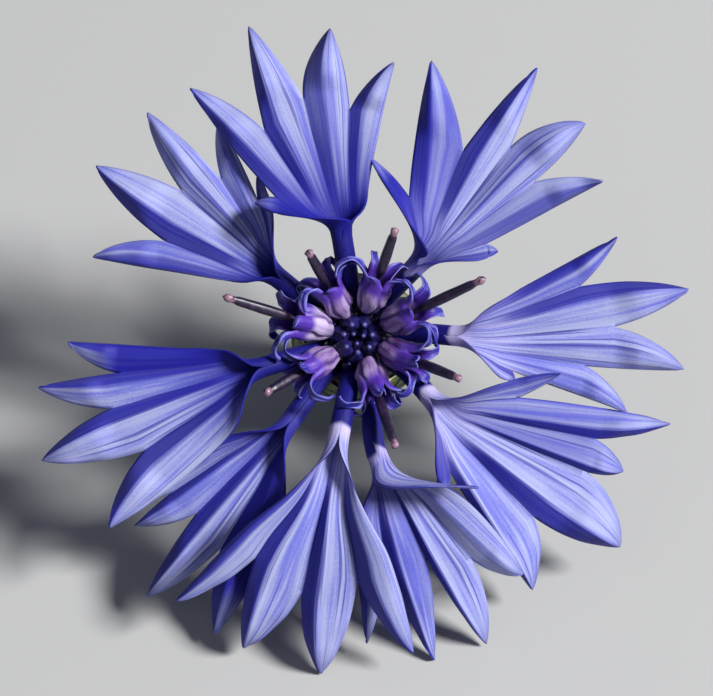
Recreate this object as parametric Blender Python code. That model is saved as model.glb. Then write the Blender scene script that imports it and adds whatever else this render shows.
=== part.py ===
"""A cornflower head, picked with a short stub of its stem and lying face up on a surface.

Everything is modelled in the head's own frame, with +Z along the head's axis and the bottom of the
involucre at z = 0. An empty then leans the head forward until it rests on its cut stem and on the tips
of the foremost ray florets. Lengths are in millimetres here and become metres in each mesh.
"""

import math
from typing import NamedTuple

import bmesh
import bpy
from mathutils import Matrix, Vector

MM = 0.001

# ---------------------------------------------------------------- driving dimensions, in millimetres
HEAD_TILT = 40.0  # degrees that the head's axis leans forward from upright
BLADE = 0.6  # thickness of every lobe

STEM_RADIUS = 0.95
STEM_RIBS = 6
STEM_RIB_DEPTH = 0.12
SEAT_GAP = 0.3  # between pieces that touch
STEM_PROFILE = ((-12.0, 1.0), (-2.2, 1.0), (-1.1, 1.08), (-SEAT_GAP, 1.45))  # (height, swelling)

INVOLUCRE_OUTLINE = (  # (height, radius) from the foot up
    (0.0, 1.5), (1.4, 3.1), (3.2, 4.2), (5.2, 4.65), (7.4, 4.5), (9.8, 4.0), (12.2, 3.4),
)
INVOLUCRE_HEIGHT = INVOLUCRE_OUTLINE[-1][0]
BRACT_ROWS = 6
BRACTS_IN_ROW = 10
BRACT_STEP = 0.28  # how far a bract's tip stands out from the row above

FLORET_FLOOR = INVOLUCRE_HEIGHT + SEAT_GAP  # where every floret stands
RAY_CIRCLE = 3.02
TUBE_RADIUS = 0.36  # of a ray floret's tube, to the middle of its wall
NECK_RADIUS = 7.6  # from the head's axis to where the tube becomes the limb

DISC_CIRCLE = 1.72
DISC_TUBE_RADIUS = 0.4
THROAT_RADIUS = 1.08
DISC_LOBE_WIDTH = 0.72
ANTHER_RADIUS = 0.44

BUD_COUNT = 7
BUD_RADIUS = 0.66
BUD_TOP = 17.4


class Lobe(NamedTuple):
    """One lobe of a ray floret's limb."""

    angle: float  # degrees from the floret's own line, anticlockwise
    length: float  # from the limb's fan point to the tip
    lift: float  # how far its tip is raised above the limb's own curve
    fullness: float  # 0 for a lobe that tapers straight to its tip, 1 for a rounded one


class Notch(NamedTuple):
    """Where two lobes part. The first and the last say where the limb's own edges turn to the tips."""

    angle: float
    distance: float  # from the limb's fan point


class Ray(NamedTuple):
    """One ray floret: where it points, how its spine runs, and its lobes from the right-hand one round."""

    azimuth: float  # degrees round the head
    climb: float  # degrees that its tube rises at the foot
    pitch: float  # degrees that its limb rises, outward
    droop: float  # degrees more that it has turned down by the tips
    shift: float  # how far its limb stands to the left of its foot
    neck: float  # from the limb's fan point to where the tube becomes the limb
    lobes: tuple
    notches: tuple


RAYS = (
    Ray(5, 32, -3, 4, -0.8, 1.7, (
        Lobe(-33, 5.6, -0.8, 0.3), Lobe(-25.5, 13.8, 0.0, 0.4), Lobe(-11, 17.0, 0.3, 0.6),
        Lobe(7.5, 17.7, -0.3, 0.6), Lobe(26, 14.0, 0.7, 0.3),
    ), (
        Notch(-41, 4.6), Notch(-28, 5.0), Notch(-14.5, 10.0), Notch(0, 11.9), Notch(17, 10.2),
        Notch(29, 6.5),
    )),
    Ray(55, 45, 3, 6, -0.7, 1.4, (
        Lobe(-43, 5.6, 0.0, 0.3), Lobe(-29, 13.9, 0.4, 0.3), Lobe(-14, 15.4, -0.3, 0.9),
        Lobe(5, 16.1, 0.2, 0.2), Lobe(31.5, 14.4, -0.5, 0.3), Lobe(61, 8.8, -1.6, 0.3),
    ), (
        Notch(-51, 4.3), Notch(-35, 4.9), Notch(-18, 9.9), Notch(-2, 10.5), Notch(14.5, 8.7),
        Notch(44, 5.0), Notch(67, 4.2),
    )),
    Ray(99, 68, 5, 8, 0.0, 1.8, (
        Lobe(-23, 13.3, 0.8, 0.3), Lobe(-5, 15.3, -0.2, 0.8), Lobe(13.5, 16.7, 0.3, 0.15),
        Lobe(34.5, 15.4, 0.2, 0.6), Lobe(54, 7.2, -0.6, 0.3),
    ), (
        Notch(-24.5, 8.0), Notch(-11, 9.7), Notch(6, 10.9), Notch(24.5, 9.9), Notch(43, 6.0),
        Notch(62, 4.5),
    )),
    Ray(145, 50, 3, 10, -0.3, 1.6, (
        Lobe(-39, 8.0, -0.6, 0.3), Lobe(-32, 12.2, -0.8, 0.4), Lobe(-16, 15.4, 0.2, 0.5),
        Lobe(4, 15.6, -0.3, 0.5), Lobe(27.5, 13.6, 0.6, 0.8),
    ), (
        Notch(-45, 5.5), Notch(-35.5, 6.0), Notch(-22.5, 8.5), Notch(-6, 9.7), Notch(16, 8.9),
        Notch(29, 6.0),
    )),
    Ray(197, 64, 5, 10, 0.0, 2.0, (
        Lobe(-22.5, 14.4, 0.6, 0.6), Lobe(-11, 16.5, -0.3, 0.5), Lobe(5, 17.5, 0.3, 0.6),
        Lobe(28, 16.2, 0.2, 0.6),
    ), (
        Notch(-23.5, 8.0), Notch(-13, 10.8), Notch(-1.5, 11.8), Notch(16.5, 10.9), Notch(42.5, 5.5),
    )),
    Ray(227, 46, 0, 20, 0.6, 2.3, (
        Lobe(-16.5, 14.2, -0.5, 0.3), Lobe(-11, 15.2, 0.2, 0.4), Lobe(3, 18.4, -0.2, 0.4),
        Lobe(20.5, 18.0, -0.8, 0.5),
    ), (
        Notch(-26, 8.0), Notch(-13.5, 11.5), Notch(-2.5, 11.1), Notch(11.5, 12.0), Notch(30, 9.0),
    )),
    Ray(259, 78, 7, 40, 0.0, 1.9, (
        Lobe(-31.5, 16.7, 0.4, 0.5), Lobe(-11.5, 18.0, 0.0, 0.5), Lobe(6, 18.4, 0.2, 0.8),
        Lobe(28.5, 16.9, 0.3, 0.5),
    ), (
        Notch(-33, 10.0), Notch(-21.5, 11.0), Notch(-2, 12.2), Notch(16.5, 10.8), Notch(32, 9.0),
    )),
    Ray(292, 63, 2, 38, -1.8, 1.7, (
        Lobe(-21, 15.5, -0.5, 0.4), Lobe(-6, 17.6, 0.0, 0.4), Lobe(6.5, 18.2, 0.2, 0.7),
        Lobe(25, 15.3, 0.3, 0.5), Lobe(47, 9.0, 0.7, 0.3),
    ), (
        Notch(-28, 7.0), Notch(-13.5, 9.3), Notch(3, 9.8), Notch(16.5, 11.8), Notch(37, 6.5),
        Notch(53, 5.0),
    )),
    Ray(327, 40, -4, 24, -1.3, 1.45, (
        Lobe(-46, 7.0, -1.2, 0.3), Lobe(-26, 15.6, -0.6, 0.6), Lobe(-3, 17.7, 0.2, 0.8),
        Lobe(13, 15.3, -0.2, 0.5), Lobe(28, 17.7, -0.1, 0.5), Lobe(47, 9.6, 0.9, 0.3),
    ), (
        Notch(-54, 4.5), Notch(-37, 5.0), Notch(-13, 11.1), Notch(10, 12.5), Notch(21, 12.3),
        Notch(37, 6.5), Notch(52, 4.8),
    )),
)


class Disc(NamedTuple):
    """One open disc floret: where its foot and mouth stand, and how far its anther column reaches."""

    foot_azimuth: float
    azimuth: float
    mouth_radius: float
    anther_reach: float


DISCS = (
    Disc(24, 25, 4.2, 9.6),
    Disc(73, 71, 4.1, 7.9),
    Disc(122, 120, 3.9, 6.8),
    Disc(170, 163, 4.3, 9.6),
    Disc(218, 211, 4.0, 7.4),
    Disc(283, 289, 3.7, 8.0),
    Disc(332, 338, 3.9, 7.6),
)

RAY_BLUE = (0.13, 0.14, 0.72, 1.0)
DISC_VIOLET = (0.22, 0.10, 0.52, 1.0)
ANTHER_PURPLE = (0.035, 0.012, 0.05, 1.0)
BUD_NAVY = (0.03, 0.025, 0.16, 1.0)
BRACT_GREEN = (0.13, 0.20, 0.06, 1.0)
STEM_GREEN = (0.20, 0.28, 0.12, 1.0)


# ---------------------------------------------------------------- small helpers


def smooth(x):
    """0 below 0, 1 above 1, and an even ease between."""
    x = min(1.0, max(0.0, x))
    return x * x * (3 - 2 * x)


def around(radius, azimuth, z):
    """A point at this radius and azimuth, in degrees, round the head's axis."""
    a = math.radians(azimuth)
    return Vector((radius * math.cos(a), radius * math.sin(a), z))


def material(name, colour, roughness):
    made = bpy.data.materials.new(name)
    made.use_nodes = True
    shader = made.node_tree.nodes["Principled BSDF"]
    shader.inputs["Base Color"].default_value = colour
    shader.inputs["Roughness"].default_value = roughness
    shader.inputs["Metallic"].default_value = 0.0
    return made


def add_object(name, bm, parent, finish):
    """Turns a bmesh in millimetres into a named object in metres, with its faces pointing out."""
    bmesh.ops.recalc_face_normals(bm, faces=bm.faces)
    bm.transform(Matrix.Scale(MM, 4))
    mesh = bpy.data.meshes.new(name)
    bm.to_mesh(mesh)
    bm.free()
    mesh.materials.append(finish)
    mesh.shade_smooth()
    mesh.set_sharp_from_angle(angle=math.radians(50))
    obj = bpy.data.objects.new(name, mesh)
    bpy.context.scene.collection.objects.link(obj)
    obj.parent = parent
    return obj


def joined_object(name, body, parts, parent, finish):
    """Makes one object of a body and the parts that grow from it, with a Boolean union on a collection."""
    obj = add_object(name, body, parent, finish)
    collection = bpy.data.collections.new(name + "_parts")
    bpy.context.scene.collection.children.link(collection)
    for part in parts:
        piece = add_object(name + "_part", part, parent, finish)
        bpy.context.scene.collection.objects.unlink(piece)
        collection.objects.link(piece)
    union = obj.modifiers.new("join", "BOOLEAN")
    union.operation = "UNION"
    union.operand_type = "COLLECTION"
    union.collection = collection
    union.solver = "EXACT"
    bpy.context.view_layer.update()
    graph = bpy.context.evaluated_depsgraph_get()
    mesh = bpy.data.meshes.new_from_object(obj.evaluated_get(graph))
    obj.modifiers.clear()
    obj.data = mesh
    for piece in list(collection.objects):
        bpy.data.objects.remove(piece)
    bpy.data.collections.remove(collection)
    return obj


def join_loops(bm, loops):
    """Skins a list of vertex rings of equal size with triangles, and caps the ends."""
    count = len(loops[0])
    for low, high in zip(loops, loops[1:]):
        for i in range(count):
            j = (i + 1) % count
            bm.faces.new((low[i], low[j], high[j]))
            bm.faces.new((low[i], high[j], high[i]))
    for ring in (loops[0], loops[-1]):
        centre = bm.verts.new(sum((v.co for v in ring), Vector()) / count)
        for i in range(count):
            bm.faces.new((ring[i], ring[(i + 1) % count], centre))


# ---------------------------------------------------------------- ray florets

SPINE_STEP = 0.25
SPINE_LENGTH = 26.0
BEND_START = 1.6  # along the spine, where it begins to lean outward
BEND_END = 8.0
SHIFT_START = 1.0  # along the spine, where it begins to move sideways
SHIFT_END = 7.5
ROLL_START = 2.2  # where the tube begins to open
ROLL_GROWTH = 0.28
FAN_ROW = 1.1  # between rows of the undivided limb
FREE_ROWS = 5  # along the free part of a lobe
TUBE_ROWS = 4
FOOT_HALF_WIDTH = 0.78  # half the sheet's width at the foot, unrolled
LOBE_RIDGE = 0.22  # how high a lobe's middle stands above its edges
RIDGE_GROWTH = 4.0  # from the neck to where the ridge is that high


def spine_of(ray):
    """Points (radius, height, slope) along the floret's middle line, SPINE_STEP apart."""
    points = []
    radius = RAY_CIRCLE
    height = FLORET_FLOOR + BLADE / 2 * math.cos(math.radians(ray.climb))
    for i in range(int(SPINE_LENGTH / SPINE_STEP) + 1):
        along = i * SPINE_STEP
        lean = smooth((along - BEND_START) / (BEND_END - BEND_START))
        outer = max(0.0, along - BEND_END) / (SPINE_LENGTH - BEND_END)
        slope = math.radians(ray.climb + (ray.pitch - ray.climb) * lean - ray.droop * outer)
        points.append((radius, height, slope))
        radius += SPINE_STEP * math.cos(slope)
        height += SPINE_STEP * math.sin(slope)
    return points


def bend(ray, spine, along, across, lift):
    """Bends a point of the flat pattern up the spine and rolls it about the spine's line."""
    index = min(len(spine) - 2, max(0, int(along / SPINE_STEP)))
    share = along / SPINE_STEP - index
    radius, height, slope = (a + (b - a) * share for a, b in zip(spine[index], spine[index + 1]))
    roll = TUBE_RADIUS + ROLL_GROWTH * max(0.0, along - ROLL_START) ** 2
    side = roll * math.sin(across / roll)
    side += ray.shift * smooth((along - SHIFT_START) / (SHIFT_END - SHIFT_START))
    up = roll * (1 - math.cos(across / roll)) + lift
    return Vector((radius - up * math.sin(slope), side, height + up * math.cos(slope)))


def lobe_width(share, fullness):
    """A free lobe's width against its width at the notch: a lance's outline."""
    return (1 + (0.15 + fullness) * share) * max(0.0, 1 - share) ** 0.9


def lobe_lift(lobe, last, distance):
    """How far a lobe is raised at this distance, growing from where both its sides are free."""
    share = max(0.0, distance - last) / (lobe.length - last)
    return lobe.lift * share * share


def edge_angle(lobe, notch, distance):
    """Angle of a lobe's edge at this distance: along the rib up to the notch, and then free."""
    if distance <= notch.distance:
        return notch.angle
    share = (distance - notch.distance) / (lobe.length - notch.distance)
    whole = math.radians(abs(notch.angle - lobe.angle))
    half = notch.distance * math.sin(whole) * lobe_width(share, lobe.fullness)
    offset = math.degrees(math.asin(min(1.0, half / distance)))
    return lobe.angle + math.copysign(offset, notch.angle - lobe.angle)


def lobe_rows(ray, index):
    """Rows of (distance, angles of the right edge, middle and left edge, lift), from the neck out."""
    lobe = ray.lobes[index]
    notches = ray.notches[index:index + 2]
    last = max(notch.distance for notch in notches)
    joined = [ray.neck + FAN_ROW * i for i in range(int((last - ray.neck) / FAN_ROW) + 1)]
    free = [joined[-1] + (lobe.length - joined[-1]) * (i + 1) / FREE_ROWS for i in range(FREE_ROWS)]
    rows = []
    for distance in joined + free:
        right, left = (edge_angle(lobe, notch, distance) for notch in notches)
        rows.append((distance, (right, lobe.angle, left), lobe_lift(lobe, last, distance)))
    return rows


def ray_floret(ray, name, parent, finish):
    """A trumpet floret: a narrow tube that opens into a limb cut into long lobes."""
    spine = spine_of(ray)
    start = ray.neck
    neck = SPINE_STEP * sum(1 for radius, _, _ in spine if radius < NECK_RADIUS)
    apex = neck - start
    widest = max(abs(notch.angle) for notch in ray.notches)
    foot_share = FOOT_HALF_WIDTH / (start * math.sin(math.radians(widest)))
    bm = bmesh.new()

    def place(distance, angle, lift):
        turn = math.radians(angle)
        along = apex + distance * math.cos(turn)
        across = distance * math.sin(turn)
        return bm.verts.new(bend(ray, spine, along, across, lift))

    def place_tube(share, angle):
        turn = math.radians(angle)
        narrowing = foot_share + (1 - foot_share) * share * share
        along = share * (apex + start * math.cos(turn))
        return bm.verts.new(bend(ray, spine, along, start * math.sin(turn) * narrowing, 0.0))

    for index in range(len(ray.lobes)):
        rows = lobe_rows(ray, index)
        grid = [[place_tube(i / TUBE_ROWS, angle) for angle in rows[0][1]] for i in range(TUBE_ROWS)]
        for distance, (right, middle, left), lift in rows[:-1]:
            ridge = LOBE_RIDGE * smooth((distance - start) / RIDGE_GROWTH)
            heights = (lift, lift + ridge, lift)
            grid.append([place(distance, a, h) for a, h in zip((right, middle, left), heights)])
        distance, (_, middle, _), lift = rows[-1]
        tip = place(distance, middle, lift + LOBE_RIDGE / 2)
        for low, high in zip(grid, grid[1:]):
            for i in range(2):
                bm.faces.new((low[i], low[i + 1], high[i + 1], high[i]))
        last = grid[-1]
        for i in range(2):
            bm.faces.new((last[i], last[i + 1], tip))
    bmesh.ops.remove_doubles(bm, verts=bm.verts, dist=0.01)
    bmesh.ops.triangulate(bm, faces=bm.faces, quad_method="FIXED")
    bm.transform(Matrix.Rotation(math.radians(ray.azimuth), 4, "Z"))
    obj = add_object(name, bm, parent, finish)
    wall = obj.modifiers.new("blade", "SOLIDIFY")
    wall.thickness = BLADE * MM
    wall.offset = 0.0
    wall.use_even_offset = True
    wall.use_quality_normals = True
    return obj


# ---------------------------------------------------------------- disc florets and their anther columns

DISC_SIDES = 8
DISC_PROFILE = ((0.0, 0.9), (0.42, 1.0), (0.62, 1.7), (0.78, 2.65), (0.93, 2.6), (1.0, 2.2))
MOUTH_HEIGHT = 17.9
DISC_LOBES = ((36, 78), (-36, 78), (108, 30), (-108, 30), (180, 14))  # (degrees round the mouth, curl)
CURL_RADIUS = 1.5
CURL_STEPS = 4
STRAIGHT_BELOW = 40  # a lobe that curls less than this simply leans
STRAIGHT_LENGTH = 1.9
LOBE_TAPER = 0.5
LOBE_ROOT = 0.72  # where a lobe starts, as a share of the throat's radius
LOBE_BURIED = 0.9  # how deep its root is sunk in the throat
ANTHER_SIDES = 8
ANTHER_PROFILE = ((0.0, 0.75), (0.1, 1.0), (0.55, 0.95), (0.85, 0.85), (0.93, 1.1), (1.0, 0.6))
ANTHER_RISE = 2.6  # how much higher than its mouth a column ends
ANTHER_CLEARANCE = 0.3
ANTHER_OUTSET = 0.35


def frame_along(start, end):
    """A matrix whose Z runs from start to end, and whose X points away from the head's axis."""
    z = (end - start).normalized()
    outward = Vector((end.x, end.y, 0)).normalized()
    y = z.cross(outward).normalized()
    x = y.cross(z)
    turn = Matrix((x, y, z)).transposed().to_4x4()
    return Matrix.Translation(start) @ turn


def turned(bm, matrix, profile, length, radius, sides):
    """A closed turned shape: rings of (share of the length, share of the radius)."""
    loops = []
    for along, width in profile:
        loops.append([
            bm.verts.new(matrix @ around(radius * width, 360 * i / sides, along * length))
            for i in range(sides)
        ])
    join_loops(bm, loops)


def curled_lobe(matrix, azimuth, curl):
    """One lobe: a tapering strip that leaves the mouth upright and curls outward by this angle."""
    bm = bmesh.new()
    loops = []
    root = THROAT_RADIUS * LOBE_ROOT
    for i in range(-1, CURL_STEPS + 1):
        share = max(0.0, i / CURL_STEPS)
        turn = math.radians(curl) * share
        out = root + CURL_RADIUS * (1 - math.cos(turn))
        up = CURL_RADIUS * math.sin(turn) if curl > STRAIGHT_BELOW else STRAIGHT_LENGTH * share
        up -= LOBE_BURIED if i < 0 else 0.0
        half = DISC_LOBE_WIDTH / 2 * (1 - LOBE_TAPER * share)
        thick = BLADE / 2
        normal = Vector((math.cos(turn), 0, -math.sin(turn)))
        centre = Vector((out, 0, up))
        ring = []
        for side, face in ((-1, -1), (1, -1), (1, 1), (-1, 1)):
            ring.append(bm.verts.new(centre + normal * thick * face + Vector((0, side * half, 0))))
        loops.append(ring)
    join_loops(bm, loops)
    bm.transform(matrix @ Matrix.Rotation(math.radians(azimuth), 4, "Z"))
    return bm


def disc_axis(disc):
    foot = around(DISC_CIRCLE, disc.foot_azimuth, FLORET_FLOOR)
    mouth = around(disc.mouth_radius, disc.azimuth, MOUTH_HEIGHT)
    return foot, mouth


def disc_floret(disc, name, parent, finish):
    """A small open floret: a slim tube, a swollen throat and five curling lobes, joined in one body."""
    foot, mouth = disc_axis(disc)
    length = (mouth - foot).length
    base = frame_along(foot, mouth)
    tube = bmesh.new()
    turned(tube, base, DISC_PROFILE, length, DISC_TUBE_RADIUS, DISC_SIDES)
    top = base @ Matrix.Translation((0, 0, length))
    lobes = [curled_lobe(top, azimuth, curl) for azimuth, curl in DISC_LOBES]
    return joined_object(name, tube, lobes, parent, finish)


def anther_column(disc, name, parent, finish):
    """The dark tube of joined anthers that stands out of a disc floret's mouth."""
    _, mouth = disc_axis(disc)
    rise = ANTHER_RADIUS + SEAT_GAP + ANTHER_CLEARANCE
    root = mouth + around(ANTHER_OUTSET, disc.azimuth, rise)
    tip = around(disc.anther_reach, disc.azimuth, mouth.z + ANTHER_RISE)
    bm = bmesh.new()
    length = (tip - root).length
    turned(bm, frame_along(root, tip), ANTHER_PROFILE, length, ANTHER_RADIUS, ANTHER_SIDES)
    return add_object(name, bm, parent, finish)


# ---------------------------------------------------------------- buds at the centre

BUD_SIDES = 7
BUD_START = 1.0  # how high above the cup a bud's foot is
BUD_TURN = 12  # degrees to the first bud
MIDDLE_DROP = 0.6  # how much lower the middle bud ends
SECOND_DROP = 0.4  # and every second one of the others
BUD_FOOT_CIRCLE = 0.5
BUD_TIP_CIRCLE = 1.25
BUD_PROFILE = ((0.0, 0.55), (0.35, 0.75), (0.6, 1.0), (0.8, 0.85), (0.93, 0.45), (1.0, 0.12))
BUD_CORE_PROFILE = ((0.0, 0.85), (0.6, 1.0), (1.0, 0.9))
BUD_CORE_HEIGHT = 2.6
BUD_CORE_RADIUS = 0.95
BUD_CORE_SIDES = 10


def bud_places():
    """(matrix, length) of each bud: one upright in the middle, and the others leaning out round it."""
    foot_height = FLORET_FLOOR + BUD_START
    places = [(Matrix.Translation((0, 0, foot_height)), BUD_TOP - MIDDLE_DROP - foot_height)]
    for i in range(BUD_COUNT):
        azimuth = 360 * i / BUD_COUNT + BUD_TURN
        foot = around(BUD_FOOT_CIRCLE, azimuth, foot_height)
        tip = around(BUD_TIP_CIRCLE, azimuth, BUD_TOP - SECOND_DROP * (i % 2))
        places.append((frame_along(foot, tip), (tip - foot).length))
    return places


def bud_cluster(name, parent, finish):
    """Unopened florets: pointed buds round a middle one, with their tubes joined in a short core."""
    core = bmesh.new()
    turned(core, Matrix.Translation((0, 0, FLORET_FLOOR)), BUD_CORE_PROFILE, BUD_CORE_HEIGHT,
           BUD_CORE_RADIUS, BUD_CORE_SIDES)
    buds = []
    for matrix, length in bud_places():
        bud = bmesh.new()
        turned(bud, matrix, BUD_PROFILE, length, BUD_RADIUS, BUD_SIDES)
        buds.append(bud)
    return joined_object(name, core, buds, parent, finish)


# ---------------------------------------------------------------- involucre and stem

BRACT_POINTS = 4  # vertices across one bract
BRACT_LIP = 0.05  # height of the step under a bract's edge
BRACT_SWELL = 0.6  # how far a bract's bare middle stands out, as a share of its tip's step


def involucre_radius(z):
    """The involucre's outline: a narrow foot, an egg's belly and a drawn-in mouth."""
    for (low, low_radius), (high, high_radius) in zip(INVOLUCRE_OUTLINE, INVOLUCRE_OUTLINE[1:]):
        if z <= high:
            return low_radius + (high_radius - low_radius) * (z - low) / (high - low)
    return INVOLUCRE_OUTLINE[-1][1]


def bract_edge(row, column):
    """Height of a row's scalloped edge, with a pointed tip in the middle of each bract."""
    pitch = INVOLUCRE_HEIGHT / (BRACT_ROWS + 0.5)
    phase = (column / BRACT_POINTS + 0.5 * (row % 2)) % 1.0
    point = 1 - abs(2 * phase - 1)
    return pitch * (row + 0.75 + 0.75 * point ** 0.8)


def bract_ring(bm, heights, step):
    """A ring of vertices on the involucre's outline at these heights, standing out by this step."""
    count = len(heights)
    return [
        bm.verts.new(around(involucre_radius(z) + step, 360 * i / count, z)) for i, z in enumerate(heights)
    ]


def involucre(name, parent, finish):
    """The cup of overlapping bracts under the florets, closed at the top where they stand."""
    columns = BRACTS_IN_ROW * BRACT_POINTS
    bm = bmesh.new()
    loops = [bract_ring(bm, [0.0] * columns, 0.0)]
    below = None
    for row in range(BRACT_ROWS):
        edge = [min(bract_edge(row, i), INVOLUCRE_HEIGHT - BRACT_LIP) for i in range(columns)]
        if below:
            middle = [(a + b) / 2 for a, b in zip(below, edge)]
            loops.append(bract_ring(bm, middle, BRACT_STEP * BRACT_SWELL))
        loops.append(bract_ring(bm, edge, BRACT_STEP))
        if row < BRACT_ROWS - 1:
            loops.append(bract_ring(bm, [z + BRACT_LIP for z in edge], 0.0))
        below = edge
    loops.append(bract_ring(bm, [INVOLUCRE_HEIGHT] * columns, 0.0))
    join_loops(bm, loops)
    return add_object(name, bm, parent, finish)


def stem(name, parent, finish, floor_height, tilt):
    """The ribbed stub of stem, cut on a slant so that its end lies flat on the surface."""
    bm = bmesh.new()
    sides = STEM_RIBS * 2
    loops = []
    for z, swell in STEM_PROFILE:
        radii = [(STEM_RADIUS - STEM_RIB_DEPTH * (i % 2)) * swell for i in range(sides)]
        loops.append([bm.verts.new(around(radius, 360 * i / sides, z)) for i, radius in enumerate(radii)])
    join_loops(bm, loops)
    down = tilt.inverted() @ Vector((0, 0, -1))
    cut = bmesh.ops.bisect_plane(
        bm, geom=bm.verts[:] + bm.edges[:] + bm.faces[:], dist=1e-5,
        plane_co=down * -floor_height, plane_no=down, clear_outer=True,
    )
    rim = [edge for edge in cut["geom_cut"] if isinstance(edge, bmesh.types.BMEdge)]
    bmesh.ops.triangle_fill(bm, edges=rim, use_beauty=True, use_dissolve=False)
    bmesh.ops.remove_doubles(bm, verts=bm.verts, dist=1e-4)
    return add_object(name, bm, parent, finish)


# ---------------------------------------------------------------- the whole head


def clear_scene():
    for obj in list(bpy.data.objects):
        bpy.data.objects.remove(obj)


def corners(obj, matrix):
    """The object's evaluated points, moved by this matrix."""
    graph = bpy.context.evaluated_depsgraph_get()
    mesh = obj.evaluated_get(graph).to_mesh()
    points = [matrix @ v.co for v in mesh.vertices]
    obj.evaluated_get(graph).to_mesh_clear()
    return points


def main():
    clear_scene()
    lean = bpy.data.objects.new("head_lean", None)
    bpy.context.scene.collection.objects.link(lean)
    tilt = Matrix.Rotation(math.radians(HEAD_TILT), 4, "X")

    blue = material("ray_blue", RAY_BLUE, 0.55)
    violet = material("disc_violet", DISC_VIOLET, 0.5)
    purple = material("anther_purple", ANTHER_PURPLE, 0.35)
    navy = material("bud_navy", BUD_NAVY, 0.35)
    green = material("bract_green", BRACT_GREEN, 0.6)
    pale = material("stem_green", STEM_GREEN, 0.7)

    rays = [ray_floret(ray, f"ray_floret_{i}", lean, blue) for i, ray in enumerate(RAYS, 1)]
    for i, disc in enumerate(DISCS, 1):
        disc_floret(disc, f"disc_floret_{i}", lean, violet)
        anther_column(disc, f"anther_column_{i}", lean, purple)
    bud_cluster("bud_cluster", lean, navy)
    involucre("involucre", lean, green)

    bpy.context.view_layer.update()
    floor_height = min(p.z for ray in rays for p in corners(ray, tilt)) / MM
    stem("stem", lean, pale, floor_height, tilt)

    bpy.context.view_layer.update()
    points = [p for obj in lean.children for p in corners(obj, tilt)]
    middle_x = (min(p.x for p in points) + max(p.x for p in points)) / 2
    middle_y = (min(p.y for p in points) + max(p.y for p in points)) / 2
    lean.matrix_world = Matrix.Translation((-middle_x, -middle_y, -floor_height * MM)) @ tilt
    bpy.context.view_layer.update()


main()
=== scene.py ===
# %% [markdown]
# # A cornflower head, picked and laid down
# A cornflower is not one flower but a head of many small ones, called florets. Round the edge stand nine
# ray florets, each a narrow tube that opens into a trumpet cut into long pointed lobes. Inside them stand
# the disc florets, with pale throats, curled lobes and a dark column of anthers. A cup of overlapping
# bracts, the involucre, holds them all on the stem. This lesson gives each of them its finished form.

import math
import random
from typing import NamedTuple

import bmesh
import bpy
from mathutils import Matrix, Vector, noise


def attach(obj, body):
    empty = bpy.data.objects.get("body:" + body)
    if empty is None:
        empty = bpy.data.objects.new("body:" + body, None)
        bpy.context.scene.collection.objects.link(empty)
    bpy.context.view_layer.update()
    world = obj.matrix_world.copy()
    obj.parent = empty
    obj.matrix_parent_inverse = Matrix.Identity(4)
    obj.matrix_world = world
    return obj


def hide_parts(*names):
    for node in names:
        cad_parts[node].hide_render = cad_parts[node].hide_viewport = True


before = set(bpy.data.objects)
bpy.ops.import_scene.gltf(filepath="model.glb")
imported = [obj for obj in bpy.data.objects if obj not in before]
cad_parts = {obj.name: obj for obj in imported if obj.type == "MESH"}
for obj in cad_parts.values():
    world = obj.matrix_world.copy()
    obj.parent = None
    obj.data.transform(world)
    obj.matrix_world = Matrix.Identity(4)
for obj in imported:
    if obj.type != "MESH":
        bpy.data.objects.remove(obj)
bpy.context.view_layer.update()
print("solids:", len(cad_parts))

# %% [markdown]
# ## The head's own frame
# The head leans forward and lies on its cut stem and its front florets. Petals are far easier to think
# about on an upright head, so every piece is modelled upright in millimetres, with +Z along the head's
# axis. One matrix then lays it down and turns it to metres. The matrix is measured from the involucre's
# solid: turned back upright, its middle lies on the axis and its lowest point is the head's foot.

# %% Upright millimetres to the row's metres
MM = 0.001
HEAD_LEAN = math.radians(40)


def head_frame():
    upright = Matrix.Rotation(-HEAD_LEAN, 3, "X")
    points = [upright @ v.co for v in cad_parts["involucre"].data.vertices]
    low, high = ([pick(p[k] for p in points) for k in range(3)] for pick in (min, max))
    foot = Vector(((low[0] + high[0]) / 2, (low[1] + high[1]) / 2, low[2]))
    return Matrix.Rotation(HEAD_LEAN, 4, "X") @ Matrix.Translation(foot) @ Matrix.Scale(MM, 4)


HEAD = head_frame()
print("the head's foot is at", [round(x, 4) for x in HEAD.to_translation()])

# %% [markdown]
# ## Small helpers
# A smooth step eases one shape into the next, and a point round the axis is given by its radius and its
# azimuth in degrees. A finished mesh goes through one function, which lays it down, makes it an object
# at the origin, and says which solid it stands for. Thin sheets get their thickness from a Solidify
# modifier, which keeps the sheet itself in the middle, so both faces lie equally far from it.

# %% Helpers for places and pieces


def smooth(low, high, x):
    """0 below low, 1 above high, and an even ease between."""
    x = min(1.0, max(0.0, (x - low) / (high - low)))
    return x * x * (3 - 2 * x)


def around(radius, azimuth, z):
    """The point at this radius and azimuth, in degrees, and this height."""
    turn = math.radians(azimuth)
    return Vector((radius * math.cos(turn), radius * math.sin(turn), z))


def finished(name, bm, finish, slot, *nodes, thickness=0.0):
    """Lays a mesh down and makes it a piece that stands for these solids."""
    bmesh.ops.recalc_face_normals(bm, faces=bm.faces)
    bm.transform(HEAD)
    mesh = bpy.data.meshes.new(name)
    bm.to_mesh(mesh)
    bm.free()
    mesh.materials.append(finish)
    mesh.shade_smooth()
    obj = bpy.data.objects.new(name, mesh)
    bpy.context.scene.collection.objects.link(obj)
    if thickness:
        sheet = obj.modifiers.new("thickness", "SOLIDIFY")
        sheet.thickness = thickness * MM
        sheet.offset = 0.0
    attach(obj, "root")
    if nodes:
        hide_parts(*nodes)
    print(name, len(mesh.polygons), "faces")
    return obj


print("a quarter of the way up a smooth step:", smooth(0.0, 1.0, 0.25))

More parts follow.
